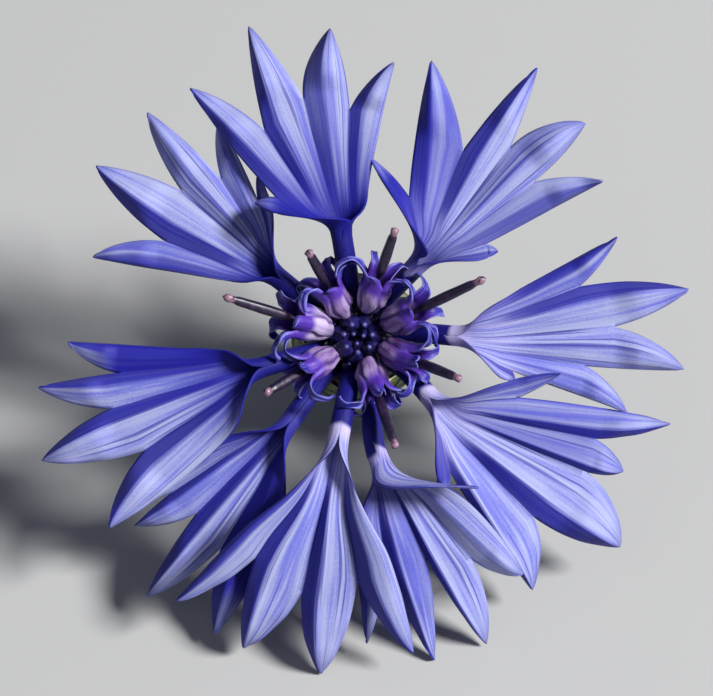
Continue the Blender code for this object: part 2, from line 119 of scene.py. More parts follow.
# %% [markdown]
# ## Writing shaders as arithmetic
# A material's maths reads best as arithmetic. A Signal wraps a socket and overloads Python's operators,
# so that `1 - mask * 0.5` adds the Math nodes by itself.

# %% Signals


class Signal:
    """A value that changes over a surface."""

    def __init__(self, finish, socket):
        self.finish = finish
        self.socket = socket

    def _math(self, operation, first, second):
        return self.finish.node("ShaderNodeMath", {"operation": operation}, first, second)

    def __add__(self, other):
        return self._math("ADD", self, other)

    def __radd__(self, other):
        return self._math("ADD", other, self)

    def __sub__(self, other):
        return self._math("SUBTRACT", self, other)

    def __rsub__(self, other):
        return self._math("SUBTRACT", other, self)

    def __mul__(self, other):
        return self._math("MULTIPLY", self, other)

    def __rmul__(self, other):
        return self._math("MULTIPLY", other, self)

    def __truediv__(self, other):
        return self._math("DIVIDE", self, other)

    def __mod__(self, other):
        return self._math("MODULO", self, other)

    def __pow__(self, other):
        return self._math("POWER", self, other)

    def __abs__(self):
        return self._math("ABSOLUTE", self, 0.0)


print("a Signal answers to + - * / % ** and abs()")

# %% [markdown]
# ## Finishes
# A Finish owns a material. It adds any node with one method, which takes the node's type, its settings,
# and the values or links of its sockets. The other methods are short names for what the petals, bracts
# and stem need most: steps, blends of two colours, noise, the piece's own maps, and small bumps.

# %% Finishes on one shader
OBJECT_OUTPUT = 3  # the Object socket of a Texture Coordinate node


class Finish:
    """A material built on one Principled shader."""

    def __init__(self, name, sockets):
        self.material = bpy.data.materials.new(name)
        self.material.use_nodes = True
        self.tree = self.material.node_tree
        self.shader = self.tree.nodes["Principled BSDF"]
        for socket, value in sockets.items():
            self.shader.inputs[socket].default_value = value

    def node(self, kind, settings, *values, output=0):
        """Any node: its type, its settings, and the values or links of its first sockets."""
        made = self.tree.nodes.new(kind)
        for setting, value in settings.items():
            setattr(made, setting, value)
        for index, value in enumerate(values):
            self.feed(made.inputs[index], value)
        return Signal(self, made.outputs[output])

    def feed(self, socket, value):
        """Links a signal to a socket, or sets the socket's own value."""
        if isinstance(value, Signal):
            self.tree.links.new(value.socket, socket)
        elif value is not None:
            socket.default_value = value

    def step(self, low, high, signal):
        """0 where the signal is below low, 1 where it is above high."""
        settings = {"interpolation_type": "SMOOTHSTEP"}
        return self.node("ShaderNodeMapRange", settings, signal, low, high, 0.0, 1.0)

    def blend(self, share, first, second):
        """A colour between two others."""
        made = self.tree.nodes.new("ShaderNodeMix")
        made.data_type = "RGBA"
        for name, value in (("Factor_Float", share), ("A_Color", first), ("B_Color", second)):
            socket = next(s for s in made.inputs if s.identifier == name)
            self.feed(socket, value)
        return Signal(self, next(s for s in made.outputs if s.identifier == "Result_Color"))

    def speckle(self, vector, scale, detail):
        """Smooth noise between 0 and 1."""
        return self.node("ShaderNodeTexNoise", {"noise_dimensions": "3D"}, vector, None, scale, detail)

    def vector(self, x, y, z):
        return self.node("ShaderNodeCombineXYZ", {}, x, y, z)

    def map(self, name):
        """The two signals of one of the piece's own UV maps."""
        uv = self.node("ShaderNodeUVMap", {"uv_map": name})
        return [self.node("ShaderNodeSeparateXYZ", {}, uv, output=k) for k in range(2)]

    def place(self):
        """Where a point lies on the object, in metres."""
        return self.node("ShaderNodeTexCoord", {}, output=OBJECT_OUTPUT)

    def colour(self, signal):
        self.feed(self.shader.inputs["Base Color"], signal)

    def roughness(self, signal):
        self.feed(self.shader.inputs["Roughness"], signal)

    def relief(self, height, distance, strength):
        """Small bumps, up to this distance high in metres."""
        bump = self.node("ShaderNodeBump", {}, strength, distance)
        self.feed(bump.socket.node.inputs["Height"], height)
        self.feed(self.shader.inputs["Normal"], bump)


print("a Finish has", *(name for name in vars(Finish) if not name.startswith("_")))

# %% [markdown]
# ## The ray florets' plan
# Each ray floret's limb is a flat fan of lobes before it is bent. A lobe is given by its angle in that
# fan, its length from the fan's point, how far its tip is lifted, and how full it is. Between two lobes
# lies a notch, with an angle and a distance of its own. A lobe is folded like a low roof, and the crease
# is seldom in its middle, so one side is narrow and steep. Those few numbers are what makes the nine
# florets differ, so they are chosen one by one.

# %% The nine florets


class Lobe(NamedTuple):
    """One lobe of a limb, laid flat."""

    angle: float  # degrees from the floret's own line, anticlockwise
    length: float  # from the fan's point to the tip
    lift: float  # how far the tip stands above the limb's own curve
    crease: float  # where its fold runs, from -1 at the right rim to 1 at the left
    fullness: float  # about 0 for a straight taper, 1 for a rounded lobe
    shade: float  # above 0 for a deeper blue, below 0 for a paler one: partly the lobe's own tone, partly painted shade and painted light


class Notch(NamedTuple):
    """Where two lobes part. The first and the last say where the limb's own edges turn to the tips."""

    angle: float
    distance: float  # from the fan's point


class Ray(NamedTuple):
    """One ray floret: its spine, how it opens, and its lobes from the right-hand one round."""

    azimuth: float  # degrees round the head
    climb: float  # degrees that its tube rises at the foot
    pitch: float  # degrees that its limb rises, outward
    droop: float  # degrees more that it has turned down by the tips
    shift: float  # how far its limb stands to the left of its foot
    neck: float  # from the fan's point to where the tube becomes the limb
    lip: float  # from the head's axis to where the tube starts to open
    opening: float  # how quickly it opens
    gather: float  # over what length the lobes spread out from the neck
    folding: float  # how sharply the joined part of the limb is folded
    paleness_and_light: float  # of its neck, 0 for none: partly its own white wash and partly painted light on the necks that face the lamp
    deep_and_shaded_base: float  # how far the deep blue of the tube reaches up from the lip, partly its own colour and partly painted shade where the base lay in shadow
    lobes: tuple
    notches: tuple


RAYS = (
    Ray(5, 32, -3, 4, -0.8, 1.7, 6.6, 0.12, 2.5, 0.45, 1.0, 1.0, (
        Lobe(-33, 5.6, -0.8, 0.1, 0.3, 0.2), Lobe(-25.5, 13.8, 0.0, 0.5, 0.4, 0.0),
        Lobe(-11, 17.0, 0.3, 0.4, 0.6, -0.1), Lobe(7.5, 17.7, -0.3, 0.4, 0.6, 0.0),
        Lobe(26, 14.0, 0.7, -0.3, 0.3, 0.35),
    ), (
        Notch(-41, 4.6), Notch(-28, 5.0), Notch(-14.5, 10.0), Notch(0, 11.9), Notch(17, 10.2),
        Notch(29, 6.5),
    )),
    Ray(55, 45, 3, 6, -0.7, 1.4, 6.2, 0.12, 2.5, 0.45, 0.25, 5.0, (
        Lobe(-43, 5.6, 0.0, 0.1, 0.3, 0.0), Lobe(-29, 13.9, 0.4, 0.35, 0.3, -0.35),
        Lobe(-14, 15.4, -0.3, 0.4, 0.9, -0.15), Lobe(5, 16.1, 0.2, 0.2, 0.2, 0.0),
        Lobe(31.5, 14.4, -0.5, -0.1, 0.3, 0.5), Lobe(61, 8.8, -1.6, 0.0, 0.3, 0.9),
    ), (
        Notch(-51, 4.3), Notch(-35, 4.9), Notch(-18, 9.9), Notch(-2, 10.5), Notch(14.5, 8.7),
        Notch(44, 5.0), Notch(67, 4.2),
    )),
    Ray(99, 68, 5, 8, 0.0, 1.8, 7.0, 0.3, 2.0, 0.3, 0.0, 9.0, (
        Lobe(-23, 13.3, 0.8, 0.6, 0.3, 0.1), Lobe(-5, 15.3, -0.2, 0.35, 0.8, -0.2),
        Lobe(13.5, 16.7, 0.3, 0.5, 0.15, -0.1), Lobe(34.5, 15.4, 0.2, -0.1, 0.6, 0.3),
        Lobe(54, 7.2, -0.6, 0.2, 0.3, 0.8),
    ), (
        Notch(-24.5, 8.0), Notch(-11, 9.7), Notch(6, 10.9), Notch(24.5, 9.9), Notch(43, 6.0),
        Notch(62, 4.5),
    )),
    Ray(145, 50, 3, 10, -0.3, 1.6, 6.8, 0.15, 3.0, 0.4, 0.0, 5.0, (
        Lobe(-39, 8.0, -0.6, 0.1, 0.3, 0.3), Lobe(-32, 12.2, -0.8, 0.4, 0.4, 0.15),
        Lobe(-16, 15.4, 0.2, 0.3, 0.5, -0.15), Lobe(4, 15.6, -0.3, 0.3, 0.5, -0.1),
        Lobe(27.5, 13.6, 0.6, -0.4, 0.8, 0.4),
    ), (
        Notch(-45, 5.5), Notch(-35.5, 6.0), Notch(-22.5, 8.5), Notch(-6, 9.7), Notch(16, 8.9),
        Notch(29, 6.0),
    )),
    Ray(197, 64, 5, 10, 0.0, 2.0, 6.8, 0.15, 3.0, 0.5, 0.0, 8.0, (
        Lobe(-22.5, 14.4, 0.6, 0.35, 0.6, 0.95), Lobe(-11, 16.5, -0.3, 0.2, 0.5, 0.0),
        Lobe(5, 17.5, 0.3, -0.3, 0.6, -0.2), Lobe(28, 16.2, 0.2, -0.5, 0.6, -0.1),
    ), (
        Notch(-23.5, 8.0), Notch(-13, 10.8), Notch(-1.5, 11.8), Notch(16.5, 10.9), Notch(42.5, 5.5),
    )),
    Ray(227, 46, 0, 20, 0.6, 2.3, 7.2, 0.06, 5.0, 0.6, 0.1, 6.0, (
        Lobe(-16.5, 14.2, -0.5, -0.4, 0.3, 0.3), Lobe(-11, 15.2, 0.2, 0.0, 0.4, 0.1),
        Lobe(3, 18.4, -0.2, -0.1, 0.4, 0.0), Lobe(20.5, 18.0, -0.8, -0.3, 0.5, 0.9),
    ), (
        Notch(-26, 8.0), Notch(-13.5, 11.5), Notch(-2.5, 11.1), Notch(11.5, 12.0), Notch(30, 9.0),
    )),
    Ray(259, 78, 7, 40, 0.0, 1.9, 6.3, 0.02, 8.0, 0.8, 0.75, 0.5, (
        Lobe(-31.5, 16.7, 0.4, 0.2, 0.5, -0.1), Lobe(-11.5, 18.0, 0.0, -0.45, 0.5, -0.1),
        Lobe(6, 18.4, 0.2, -0.4, 0.8, -0.1), Lobe(28.5, 16.9, 0.3, -0.5, 0.5, 0.1),
    ), (
        Notch(-33, 10.0), Notch(-21.5, 11.0), Notch(-2, 12.2), Notch(16.5, 10.8), Notch(32, 9.0),
    )),
    Ray(292, 63, 2, 38, -1.8, 1.7, 7.8, 0.08, 5.0, 0.6, 0.35, 3.0, (
        Lobe(-21, 15.5, -0.5, -0.2, 0.4, 0.5), Lobe(-6, 17.6, 0.0, -0.3, 0.4, 0.45),
        Lobe(6.5, 18.2, 0.2, -0.4, 0.7, -0.1), Lobe(25, 15.3, 0.3, -0.3, 0.5, 0.2),
        Lobe(47, 9.0, 0.7, 0.2, 0.3, 0.0),
    ), (
        Notch(-28, 7.0), Notch(-13.5, 9.3), Notch(3, 9.8), Notch(16.5, 11.8), Notch(37, 6.5),
        Notch(53, 5.0),
    )),
    Ray(327, 40, -4, 24, -1.3, 1.45, 6.2, 0.12, 2.5, 0.5, 0.9, 2.0, (
        Lobe(-46, 7.0, -1.2, -0.2, 0.3, 0.8), Lobe(-26, 15.6, -0.6, -0.4, 0.6, 0.0),
        Lobe(-3, 17.7, 0.2, -0.3, 0.8, -0.1), Lobe(13, 15.3, -0.2, -0.3, 0.5, 0.5),
        Lobe(28, 17.7, -0.1, -0.5, 0.5, 0.4), Lobe(47, 9.6, 0.9, 0.2, 0.3, 0.0),
    ), (
        Notch(-54, 4.5), Notch(-37, 5.0), Notch(-13, 11.1), Notch(10, 12.5), Notch(21, 12.3),
        Notch(37, 6.5), Notch(52, 4.8),
    )),
)
print("ray florets:", len(RAYS), "lobes:", sum(len(ray.lobes) for ray in RAYS))

# %% [markdown]
# ## Bending the fan
# A ray floret rises steeply from the head and then arches outward. Its spine is found by walking along it
# in small steps while its slope eases from the climb at the foot to the pitch of the limb. A flat point
# of the fan is then carried to its place along the spine and rolled sideways into a tube, whose radius
# grows quickly past the lip, so that the tube opens out into an almost flat limb. Some florets also step
# aside on their way up, to make room for a neighbour.

# %% Spines and the roll of the tube
CUP_TOP = 12.2
SEAT = 0.3
RAY_CIRCLE = 3.02
FOOT_RISE = 0.3
TUBE_RADIUS = 0.66
SPINE_STEP = 0.25
SPINE_LENGTH = 26.0
BEND_START = 1.6
BEND_END = 8.0
SHIFT_START = 1.0
SHIFT_END = 7.5
ROLL_GROWTH = 3  # the power at which the tube's radius grows past the lip


def spine_of(ray):
    """Points along the floret's spine: radius, height and slope."""
    points = []
    radius = RAY_CIRCLE
    height = CUP_TOP + SEAT + FOOT_RISE * math.cos(math.radians(ray.climb))
    for i in range(int(SPINE_LENGTH / SPINE_STEP) + 1):
        along = i * SPINE_STEP
        lean = smooth(BEND_START, BEND_END, along)
        outer = max(0.0, along - BEND_END) / (SPINE_LENGTH - BEND_END)
        slope = math.radians(ray.climb + (ray.pitch - ray.climb) * lean - ray.droop * outer)
        points.append((radius, height, slope))
        radius += SPINE_STEP * math.cos(slope)
        height += SPINE_STEP * math.sin(slope)
    return points


def bend(ray, spine, lip, along, across, lift):
    """Carries a flat point along the spine, sideways with its shift, and round its roll."""
    index = min(len(spine) - 2, max(0, int(along / SPINE_STEP)))
    share = along / SPINE_STEP - index
    radius, height, slope = (a + (b - a) * share for a, b in zip(spine[index], spine[index + 1]))
    roll = TUBE_RADIUS + ray.opening * max(0.0, along - lip) ** ROLL_GROWTH
    side = roll * math.sin(across / roll) + ray.shift * smooth(SHIFT_START, SHIFT_END, along)
    up = roll * (1 - math.cos(across / roll)) + lift
    return Vector((radius - up * math.sin(slope), side, height + up * math.cos(slope)))


print("heights of the spines' ends:", [round(spine_of(ray)[-1][1], 1) for ray in RAYS])

# %% [markdown]
# ## Outlines of the lobes
# Two neighbouring lobes share a rib as far as the notch where they part. Beyond it each side of a lobe
# follows a lance's outline, which swells a little, more so in a full lobe, and then runs to a point.
# Every lobe is a strip of rows from the neck to its tip. Rows lie at the same distances in every lobe up
# to the notch, so the strips of one floret can be merged along their ribs.

# %% Rows of a lobe
NECK_RADIUS = 7.6
TUBE_OVERLAP = 1.01  # the sheet's edges reach a little past each other where the tube closes
TUBE_HALF_WIDTH = TUBE_RADIUS * math.pi * TUBE_OVERLAP
GATHERED = 0.5  # the lobes' angles at the neck, as a share of their own
WIDENING = 4  # how sharply the tube's width gives way to the fan's
LANCE_SWELL = 0.15
LANCE_POINT = 0.9
JOINED_ROW = 0.3
FREE_ROWS = 26
TUBE_ROWS = 12


def fan_across(ray, distance, angle):
    """How far sideways a point lies: the lobes stay gathered at the neck, and the tube keeps its width."""
    gathered = GATHERED + (1 - GATHERED) * smooth(0.0, ray.gather, distance - ray.neck)
    reach = abs(ray.notches[-1 if angle > 0 else 0].angle)
    edge = distance * math.sin(math.radians(reach * gathered))
    widening = (1 + (TUBE_HALF_WIDTH / edge) ** WIDENING) ** (1 / WIDENING)
    return distance * math.sin(math.radians(angle * gathered)) * widening


def lance(share, fullness):
    """A side's width from the notch to the tip, against its width at the notch."""
    return (1 + (LANCE_SWELL + fullness) * share) * max(0.0, 1 - share) ** LANCE_POINT


def half_angle(lobe, notch, distance):
    """Degrees from a lobe's line to its edge at this distance from the fan's point."""
    whole = abs(notch.angle - lobe.angle)
    if distance <= notch.distance:
        return whole
    share = (distance - notch.distance) / (lobe.length - notch.distance)
    half = notch.distance * math.sin(math.radians(whole)) * lance(share, lobe.fullness)
    return math.degrees(math.asin(min(1.0, half / distance)))


def lobe_distances(start, lobe, last_notch):
    """Where the rows lie: evenly up to the notch, and a fixed number of them beyond it."""
    joined = [start + JOINED_ROW * i for i in range(int((last_notch - start) / JOINED_ROW) + 1)]
    rest = lobe.length - joined[-1]
    return joined + [joined[-1] + rest * (i + 1) / FREE_ROWS for i in range(FREE_ROWS)]


print("a lobe's width halfway to its tip, slim and full:", round(lance(0.5, 0), 2), round(lance(0.5, 1), 2))

# %% [markdown]
# ## Relief of a lobe
# Flat paper petals look dead. A real lobe is folded along its crease, its rims wave a little, and its tip
# curls and leans to one side. The fold grows from nothing at the neck and is equally deep on both sides
# of a rib, so the merged ribs stay closed. The small differences from lobe to lobe come from one seeded
# random draw each.

# %% A lobe's relief, in millimetres
CREASE_HEIGHT = 1.0
RIM_DROP = 0.3
RELIEF_WIDTH = 2.4  # a lobe narrower than this has a lower fold
ROOF_POWER = 1.15  # 1 for a straight roof, more for a rounded one
WAVE_HEIGHT = 0.10
WAVE_RATE = 2.1  # radians for each millimetre along the rim
WAVE_SLANT = 1.4
LIVELY_LENGTH = 4.0  # a lobe that is free for less than this curls and twists less


class Temper(NamedTuple):
    """How one lobe differs from its neighbours, in millimetres at its tip."""

    sway: float
    curl: float
    wave: float  # where the wave of its rim starts, in radians
    twist: float


def temper_of(seed):
    draw = random.Random(seed)
    return Temper(sway=draw.uniform(-0.2, 0.2), curl=draw.uniform(-0.5, 0.6), wave=draw.uniform(0, 6.3),
                  twist=draw.uniform(-0.25, 0.25))


def crease_sides(lobe, right, left):
    """Degrees of a lobe that lie right and left of its crease."""
    shift = lobe.crease * (left if lobe.crease > 0 else right)
    return right + shift, left - shift


def crease_relief(t, width, folding):
    """Height of the folded surface: t is -1 at the right rim, 0 on the crease, and 1 at the left rim."""
    roof = 1 - abs(t) ** ROOF_POWER
    return CREASE_HEIGHT * (roof * folding * min(1.0, width / RELIEF_WIDTH) - RIM_DROP)


def free_relief(temper, t, free, distance):
    """What is added to a lobe where it is free of its neighbours, from 0 at the notch to 1 at the tip."""
    wave = math.sin(distance * WAVE_RATE + temper.wave + WAVE_SLANT * t)
    rim = abs(t) ** 2 * WAVE_HEIGHT * wave * smooth(0, 0.4, free)
    tip = temper.curl * smooth(0.55, 1.0, free) ** 2
    return rim + tip + temper.twist * t * smooth(0, 0.7, free)


print("a wide lobe's crease stands", CREASE_HEIGHT, "mm above its rims where it is folded fully")

# %% [markdown]
# ## Strips with maps
# The strip of each lobe starts as a grid made by `create_grid`, whose columns run across the lobe and
# whose rows run along it. Four UV maps keep where every corner came from and what its lobe is like,
# because the veins and the colours follow the petal and not the room.

# %% Strips with maps
MERGE = 0.0005
MAPS = ("vein", "reach", "fold", "shade")


def strip(bm, columns, rows):
    """A grid whose vertices are listed with their column and row."""
    made = bmesh.ops.create_grid(bm, x_segments=columns, y_segments=rows, size=1.0)["verts"]
    return {v: (round((v.co.x + 1) / 2 * columns), round((v.co.y + 1) / 2 * rows)) for v in made}


def mapped_mesh():
    """An empty mesh with the four maps."""
    bm = bmesh.new()
    for name in MAPS:
        bm.loops.layers.uv.new(name)
    return bm


def keep_maps(bm, cells, corner):
    """Writes the UV maps from a function of column and row."""
    layers = [bm.loops.layers.uv[name] for name in MAPS]
    for face in {face for vertex in cells for face in vertex.link_faces}:
        for loop in face.loops:
            for layer, uv in zip(layers, corner(*cells[loop.vert])):
                loop[layer].uv = uv


print("maps:", *MAPS)

# %% [markdown]
# ## One ray floret
# A lobe takes a strip and moves its points to their places with the functions above. Its last row closes
# in one point, the tip. The strips of one floret are merged along their ribs, so the petal is one sheet.

# %% Lobes and petals
COLUMNS = 14
COLUMN_CROWDING = 1.15  # above 1, the columns lie closer together at the crease
FOLD_START = 5.0  # how far from the neck the fold is as high as it gets
PETAL_THICKNESS = 0.13
LOBE_STRIDE = 4.0  # between the lobes on the vein map, where each is 2 wide


def grow_lobe(bm, ray, index, spine, lip, apex):
    """One lobe with its share of the tube, as a strip from the foot to the tip."""
    lobe = ray.lobes[index]
    right, left = ray.notches[index:index + 2]
    last_notch = max(right.distance, left.distance)
    distances = lobe_distances(ray.neck, lobe, last_notch)
    sides = crease_sides(lobe, half_angle(lobe, right, last_notch), half_angle(lobe, left, last_notch))
    temper = temper_of(f"{ray.azimuth} {index}")
    liveliness = min(1.0, (lobe.length - last_notch) / LIVELY_LENGTH)
    rows = TUBE_ROWS + len(distances) - 1
    cells = strip(bm, COLUMNS, rows)

    def across_of(column):
        """The column's own share, counted from the crease, and its place between the ribs."""
        t = 2 * column / COLUMNS - 1
        t = math.copysign(abs(t) ** COLUMN_CROWDING, t)
        return t, (lobe.crease + t * (1 - lobe.crease) if t > 0 else lobe.crease + t * (1 + lobe.crease))

    def row_of(row):
        """How far up the tube a row is, and its distance from the fan's point."""
        if row < TUBE_ROWS:
            return row / TUBE_ROWS, ray.neck
        return 1.0, distances[row - TUBE_ROWS]

    def corner(column, row):
        t, x = across_of(column)
        up_tube, distance = row_of(row)
        vein = (LOBE_STRIDE * index + x + 1, up_tube * (apex + distance) - lip)
        reach = distance / lobe.length if up_tube == 1 else 0.0
        # narrow marks the narrow side of the fold, which the petal finish paints deep blue as shade
        narrow = t if sides[1] < sides[0] else -t
        unevenness = 1 - min(sides) / max(sides)
        return vein, (reach, ray.paleness_and_light), (narrow, unevenness), (lobe.shade, ray.deep_and_shaded_base)

    keep_maps(bm, cells, corner)
    for vertex, (column, row) in cells.items():
        t, x = across_of(column)
        up_tube, distance = row_of(row)
        halves = half_angle(lobe, right, distance), half_angle(lobe, left, distance)
        angle = lobe.angle + halves[x > 0] * x
        along = apex + distance * math.cos(math.radians(angle))
        across = fan_across(ray, distance, angle)
        if up_tube < 1:
            vertex.co = bend(ray, spine, lip, up_tube * along, across, 0.0)
            continue
        free = max(0.0, distance - last_notch) / (lobe.length - last_notch)
        t = t if row < rows else 0.0
        width = distance * math.radians(sum(halves))
        folded = ray.folding + (1 - ray.folding) * smooth(0.0, 0.35, free)
        lift = crease_relief(t, width, folded) * smooth(0.0, FOLD_START, distance - ray.neck)
        lift += lobe.lift * free * free
        lift += free_relief(temper, t, free, distance) * liveliness
        across += temper.sway * free * free
        vertex.co = bend(ray, spine, lip, along, across, lift)


def ray_floret(ray):
    """All lobes of one floret, merged, at its place round the head."""
    spine = spine_of(ray)
    neck, lip = (
        SPINE_STEP * sum(1 for point in spine if point[0] < radius) for radius in (NECK_RADIUS, ray.lip)
    )
    bm = mapped_mesh()
    for index in range(len(ray.lobes)):
        grow_lobe(bm, ray, index, spine, lip, neck - ray.neck)
    bmesh.ops.remove_doubles(bm, verts=bm.verts, dist=MERGE)
    bm.transform(Matrix.Rotation(math.radians(ray.azimuth), 4, "Z"))
    return bm


print("a lobe's strip:", COLUMNS, "columns,", TUBE_ROWS, "rows in the tube,", FREE_ROWS, "past the notch")

# %% [markdown]
# ## The petals' colour
# Cornflower blue runs in deep and pale bands, and its surface shines a little like satin. Fine veins fan
# out from the neck, so the pattern is read from the vein map and not from the room: noise that is stretched
# along the lobe gives long bands that follow every bend. Some lobes are deeper or paler as a whole, partly
# by their own tone and partly as painted shade and painted light. The narrow side of each fold, which turns
# away from the lamp, and a line along its crease are painted shade, a dark rib runs down to the neck
# between two lobes, and the tips darken a little. The neck is washed with white in some florets, partly as
# painted light on the necks that face the lamp; the base of the limb is deep blue, partly as painted shade,
# and the tube is painted dark as shade.

# %% Petal finish
PETAL_BLUE = (0.112, 0.122, 0.50, 1)
PETAL_PALE = (0.315, 0.338, 0.55, 1)
PETAL_DEEP = (0.009, 0.008, 0.25, 1)
PETAL_DARK = (0.006, 0.005, 0.15, 1)
NECK_WHITE = (0.47, 0.42, 0.68, 1)


def petal_finish():
    finish = Finish("petal_blue", {"Specular IOR Level": 0.25})
    vein_u, vein_v = finish.map("vein")
    tip, paleness_and_light = finish.map("reach")
    narrow, fold = finish.map("fold")
    shade, deep_and_shaded_base = finish.map("shade")
    across = abs(vein_u % LOBE_STRIDE - 1)
    broad = finish.speckle(finish.vector(vein_u * 2.6, vein_v * 0.07, 0.0), 1.0, 2.0)
    lines = finish.speckle(finish.vector(vein_u * 5.5, vein_v * 0.05, 5.0), 1.0, 1.0)
    threads = finish.speckle(finish.vector(vein_u * 20.0, vein_v * 0.3, 3.0), 1.0, 2.0)
    grain = finish.speckle(finish.place(), 6000.0, 2.0)
    pale = finish.step(0.36, 0.60, broad * 0.75 + threads * 0.15 + grain * 0.10)
    body = finish.blend(pale, PETAL_BLUE, PETAL_PALE)

    # The lobe as a whole, deeper or paler, partly its own tone and partly painted shade and painted light;
    # then the narrow side of its fold and a line along its crease, both painted shade; then its veins and
    # its ribs.
    body = finish.blend(finish.step(0.0, 0.6, 0 - shade) * 0.7, body, PETAL_PALE)
    whole = finish.step(0.0, 1.0, shade + lines * 0.4 - 0.2) * (1 - finish.step(0.75, 0.95, tip) * 0.8)
    body = finish.blend(whole, body, PETAL_DEEP)
    # Painted shade: the narrow, steep side of each fold, which turns away from the key lamp, is painted
    # deep blue.
    side = finish.step(-0.02, 0.08, narrow) * finish.step(0.12, 0.25, fold) * finish.step(0.10, 0.30, tip)
    body = finish.blend(side * 0.9, body, PETAL_DEEP)
    # Painted shade: a dark line along the crease of each fold.
    crease = (1 - finish.step(0.02, 0.10, abs(narrow))) * (1 - finish.step(0.8, 0.95, tip))
    body = finish.blend(crease * 0.5, body, PETAL_DEEP)
    body = finish.blend(finish.step(0.61, 0.66, lines) * 0.65, body, PETAL_DEEP)
    rib = finish.step(0.90, 1.0, across) * (1 - finish.step(0.50, 0.64, tip))
    body = finish.blend(rib * 0.9, body, PETAL_DARK)
    body = finish.blend(finish.step(0.86, 1.0, tip) * 0.4, body, PETAL_DEEP)

    # The base, deep blue, partly its own colour and partly painted shade; the white wash of the neck,
    # partly painted light on the necks that face the lamp; and the tube, painted dark as shade.
    base = finish.step(0.1, 1.0, (vein_v + broad * 3.0 - 1.5) / deep_and_shaded_base)
    body = finish.blend((1 - base) * (1 - paleness_and_light * 0.8), body, PETAL_DEEP)
    # The white wash of the neck, partly its own colour and partly painted light, strongest on the necks
    # that face the lamp.
    white = (1 - finish.step(0.3, 1.6, vein_v)) * 0.8
    white = white + (1 - finish.step(1.0, 6.5, vein_v)) * (0.12 + 0.5 * finish.step(0.50, 0.62, lines))
    body = finish.blend(white * finish.step(0.0, 0.6, paleness_and_light), body, NECK_WHITE)
    # Painted shade: the tube and the limb just above the lip are painted dark, more so in florets without a
    # white neck.
    depth = 1 - finish.step(0.0, 3.0, vein_v)
    body = finish.blend(depth * (1 - finish.step(0.0, 0.2, paleness_and_light)), body, PETAL_DARK)
    body = finish.blend(1 - finish.step(0.0, 0.35, vein_v), body, PETAL_DARK)
    finish.colour(body)
    finish.roughness(0.50 + 0.2 * grain)
    finish.relief(threads * 0.25 + lines * 0.5 + grain * 0.15, 0.00010, 0.7)
    return finish.material


petal_blue = petal_finish()
for number, ray in enumerate(RAYS, 1):
    finished(f"petals_{number}", ray_floret(ray), petal_blue, "ray_blue", f"ray_floret_{number}",
             thickness=PETAL_THICKNESS)

# %% [markdown]
# ## Disc florets
# A disc floret is a slim tube that swells into a pale goblet. It rises beside the axis and then leans
# outward, so its spine is a curve through a foot, an elbow and a mouth. A matrix on that curve carries
# round shapes along it. A little noise, with a fixed seed, makes the sheet look grown.

# %% Where the disc florets stand


class Disc(NamedTuple):
    """One disc floret. Its azimuths and its turn are in degrees."""

    foot_azimuth: float
    azimuth: float  # of its mouth
    mouth_radius: float  # from the head's axis to its mouth
    anther_reach: float  # from the head's axis to the tip of its anther column
    size: float
    turn: float  # of its lobes about its own axis
    # how pale the goblet is: painted light on the goblets that face the lamp, painted shade on the others
    paleness_and_light: float


DISCS = (
    Disc(24, 25, 4.2, 9.6, 1.05, 8, 0.35),
    Disc(73, 71, 4.1, 7.9, 1.0, -6, 0.65),
    Disc(122, 120, 3.9, 6.8, 0.95, 10, 0.3),
    Disc(170, 163, 4.3, 9.6, 1.15, -4, 1.0),
    Disc(218, 211, 4.0, 7.4, 0.9, 5, 0.4),
    Disc(283, 289, 3.7, 8.0, 1.0, -8, 0.2),
    Disc(332, 338, 3.9, 7.6, 1.0, 6, 0.0),
)
FLORET_FLOOR = CUP_TOP + SEAT
DISC_CIRCLE = 1.72  # the circle that the florets' feet stand on
MOUTH_HEIGHT = 17.9
ELBOW_DROP = 1.65
ELBOW_INSET = 2.8
DISC_TUBE = 0.38  # the tube's radius
THROAT = 1.08  # the goblet's radius at its mouth
SWELL_START = 0.38  # the tube swells into the goblet between these shares of the spine
SWELL_END = 0.84
NOISE_SEED = 1  # without one, Blender's noise vectors differ from run to run
UNEVENNESS = 0.24
UNEVEN_SCALE = 1.1

noise.seed_set(NOISE_SEED)


def disc_spine(disc):
    """The foot, the elbow and the mouth of a floret: it follows the curve they draw."""
    foot = around(DISC_CIRCLE, disc.foot_azimuth, FLORET_FLOOR)
    mouth = around(disc.mouth_radius, disc.azimuth, MOUTH_HEIGHT)
    elbow = around(disc.mouth_radius - ELBOW_INSET, disc.azimuth, MOUTH_HEIGHT - ELBOW_DROP)
    return foot, elbow, mouth


def spine_frame(spine, share):
    """A matrix on the curve, with Z along it and X leaning away from the head's axis."""
    foot, elbow, mouth = spine
    here = foot * (1 - share) ** 2 + elbow * 2 * share * (1 - share) + mouth * share ** 2
    z = ((elbow - foot) * (1 - share) + (mouth - elbow) * share).normalized()
    y = z.cross(Vector((mouth.x, mouth.y, 0))).normalized()
    turn = Matrix((y.cross(z), y, z)).transposed().to_4x4()
    return Matrix.Translation(here) @ turn


def goblet_radius(disc, share):
    return DISC_TUBE + (THROAT * disc.size - DISC_TUBE) * smooth(SWELL_START, SWELL_END, share)


def uneven(point, seed):
    """A small shift that makes a sheet look grown and not moulded."""
    return point + UNEVENNESS * noise.noise_vector(point * UNEVEN_SCALE + Vector((seed, 0, 0)))


print("the disc florets' mouths lie", [disc.mouth_radius for disc in DISCS], "mm from the head's axis")

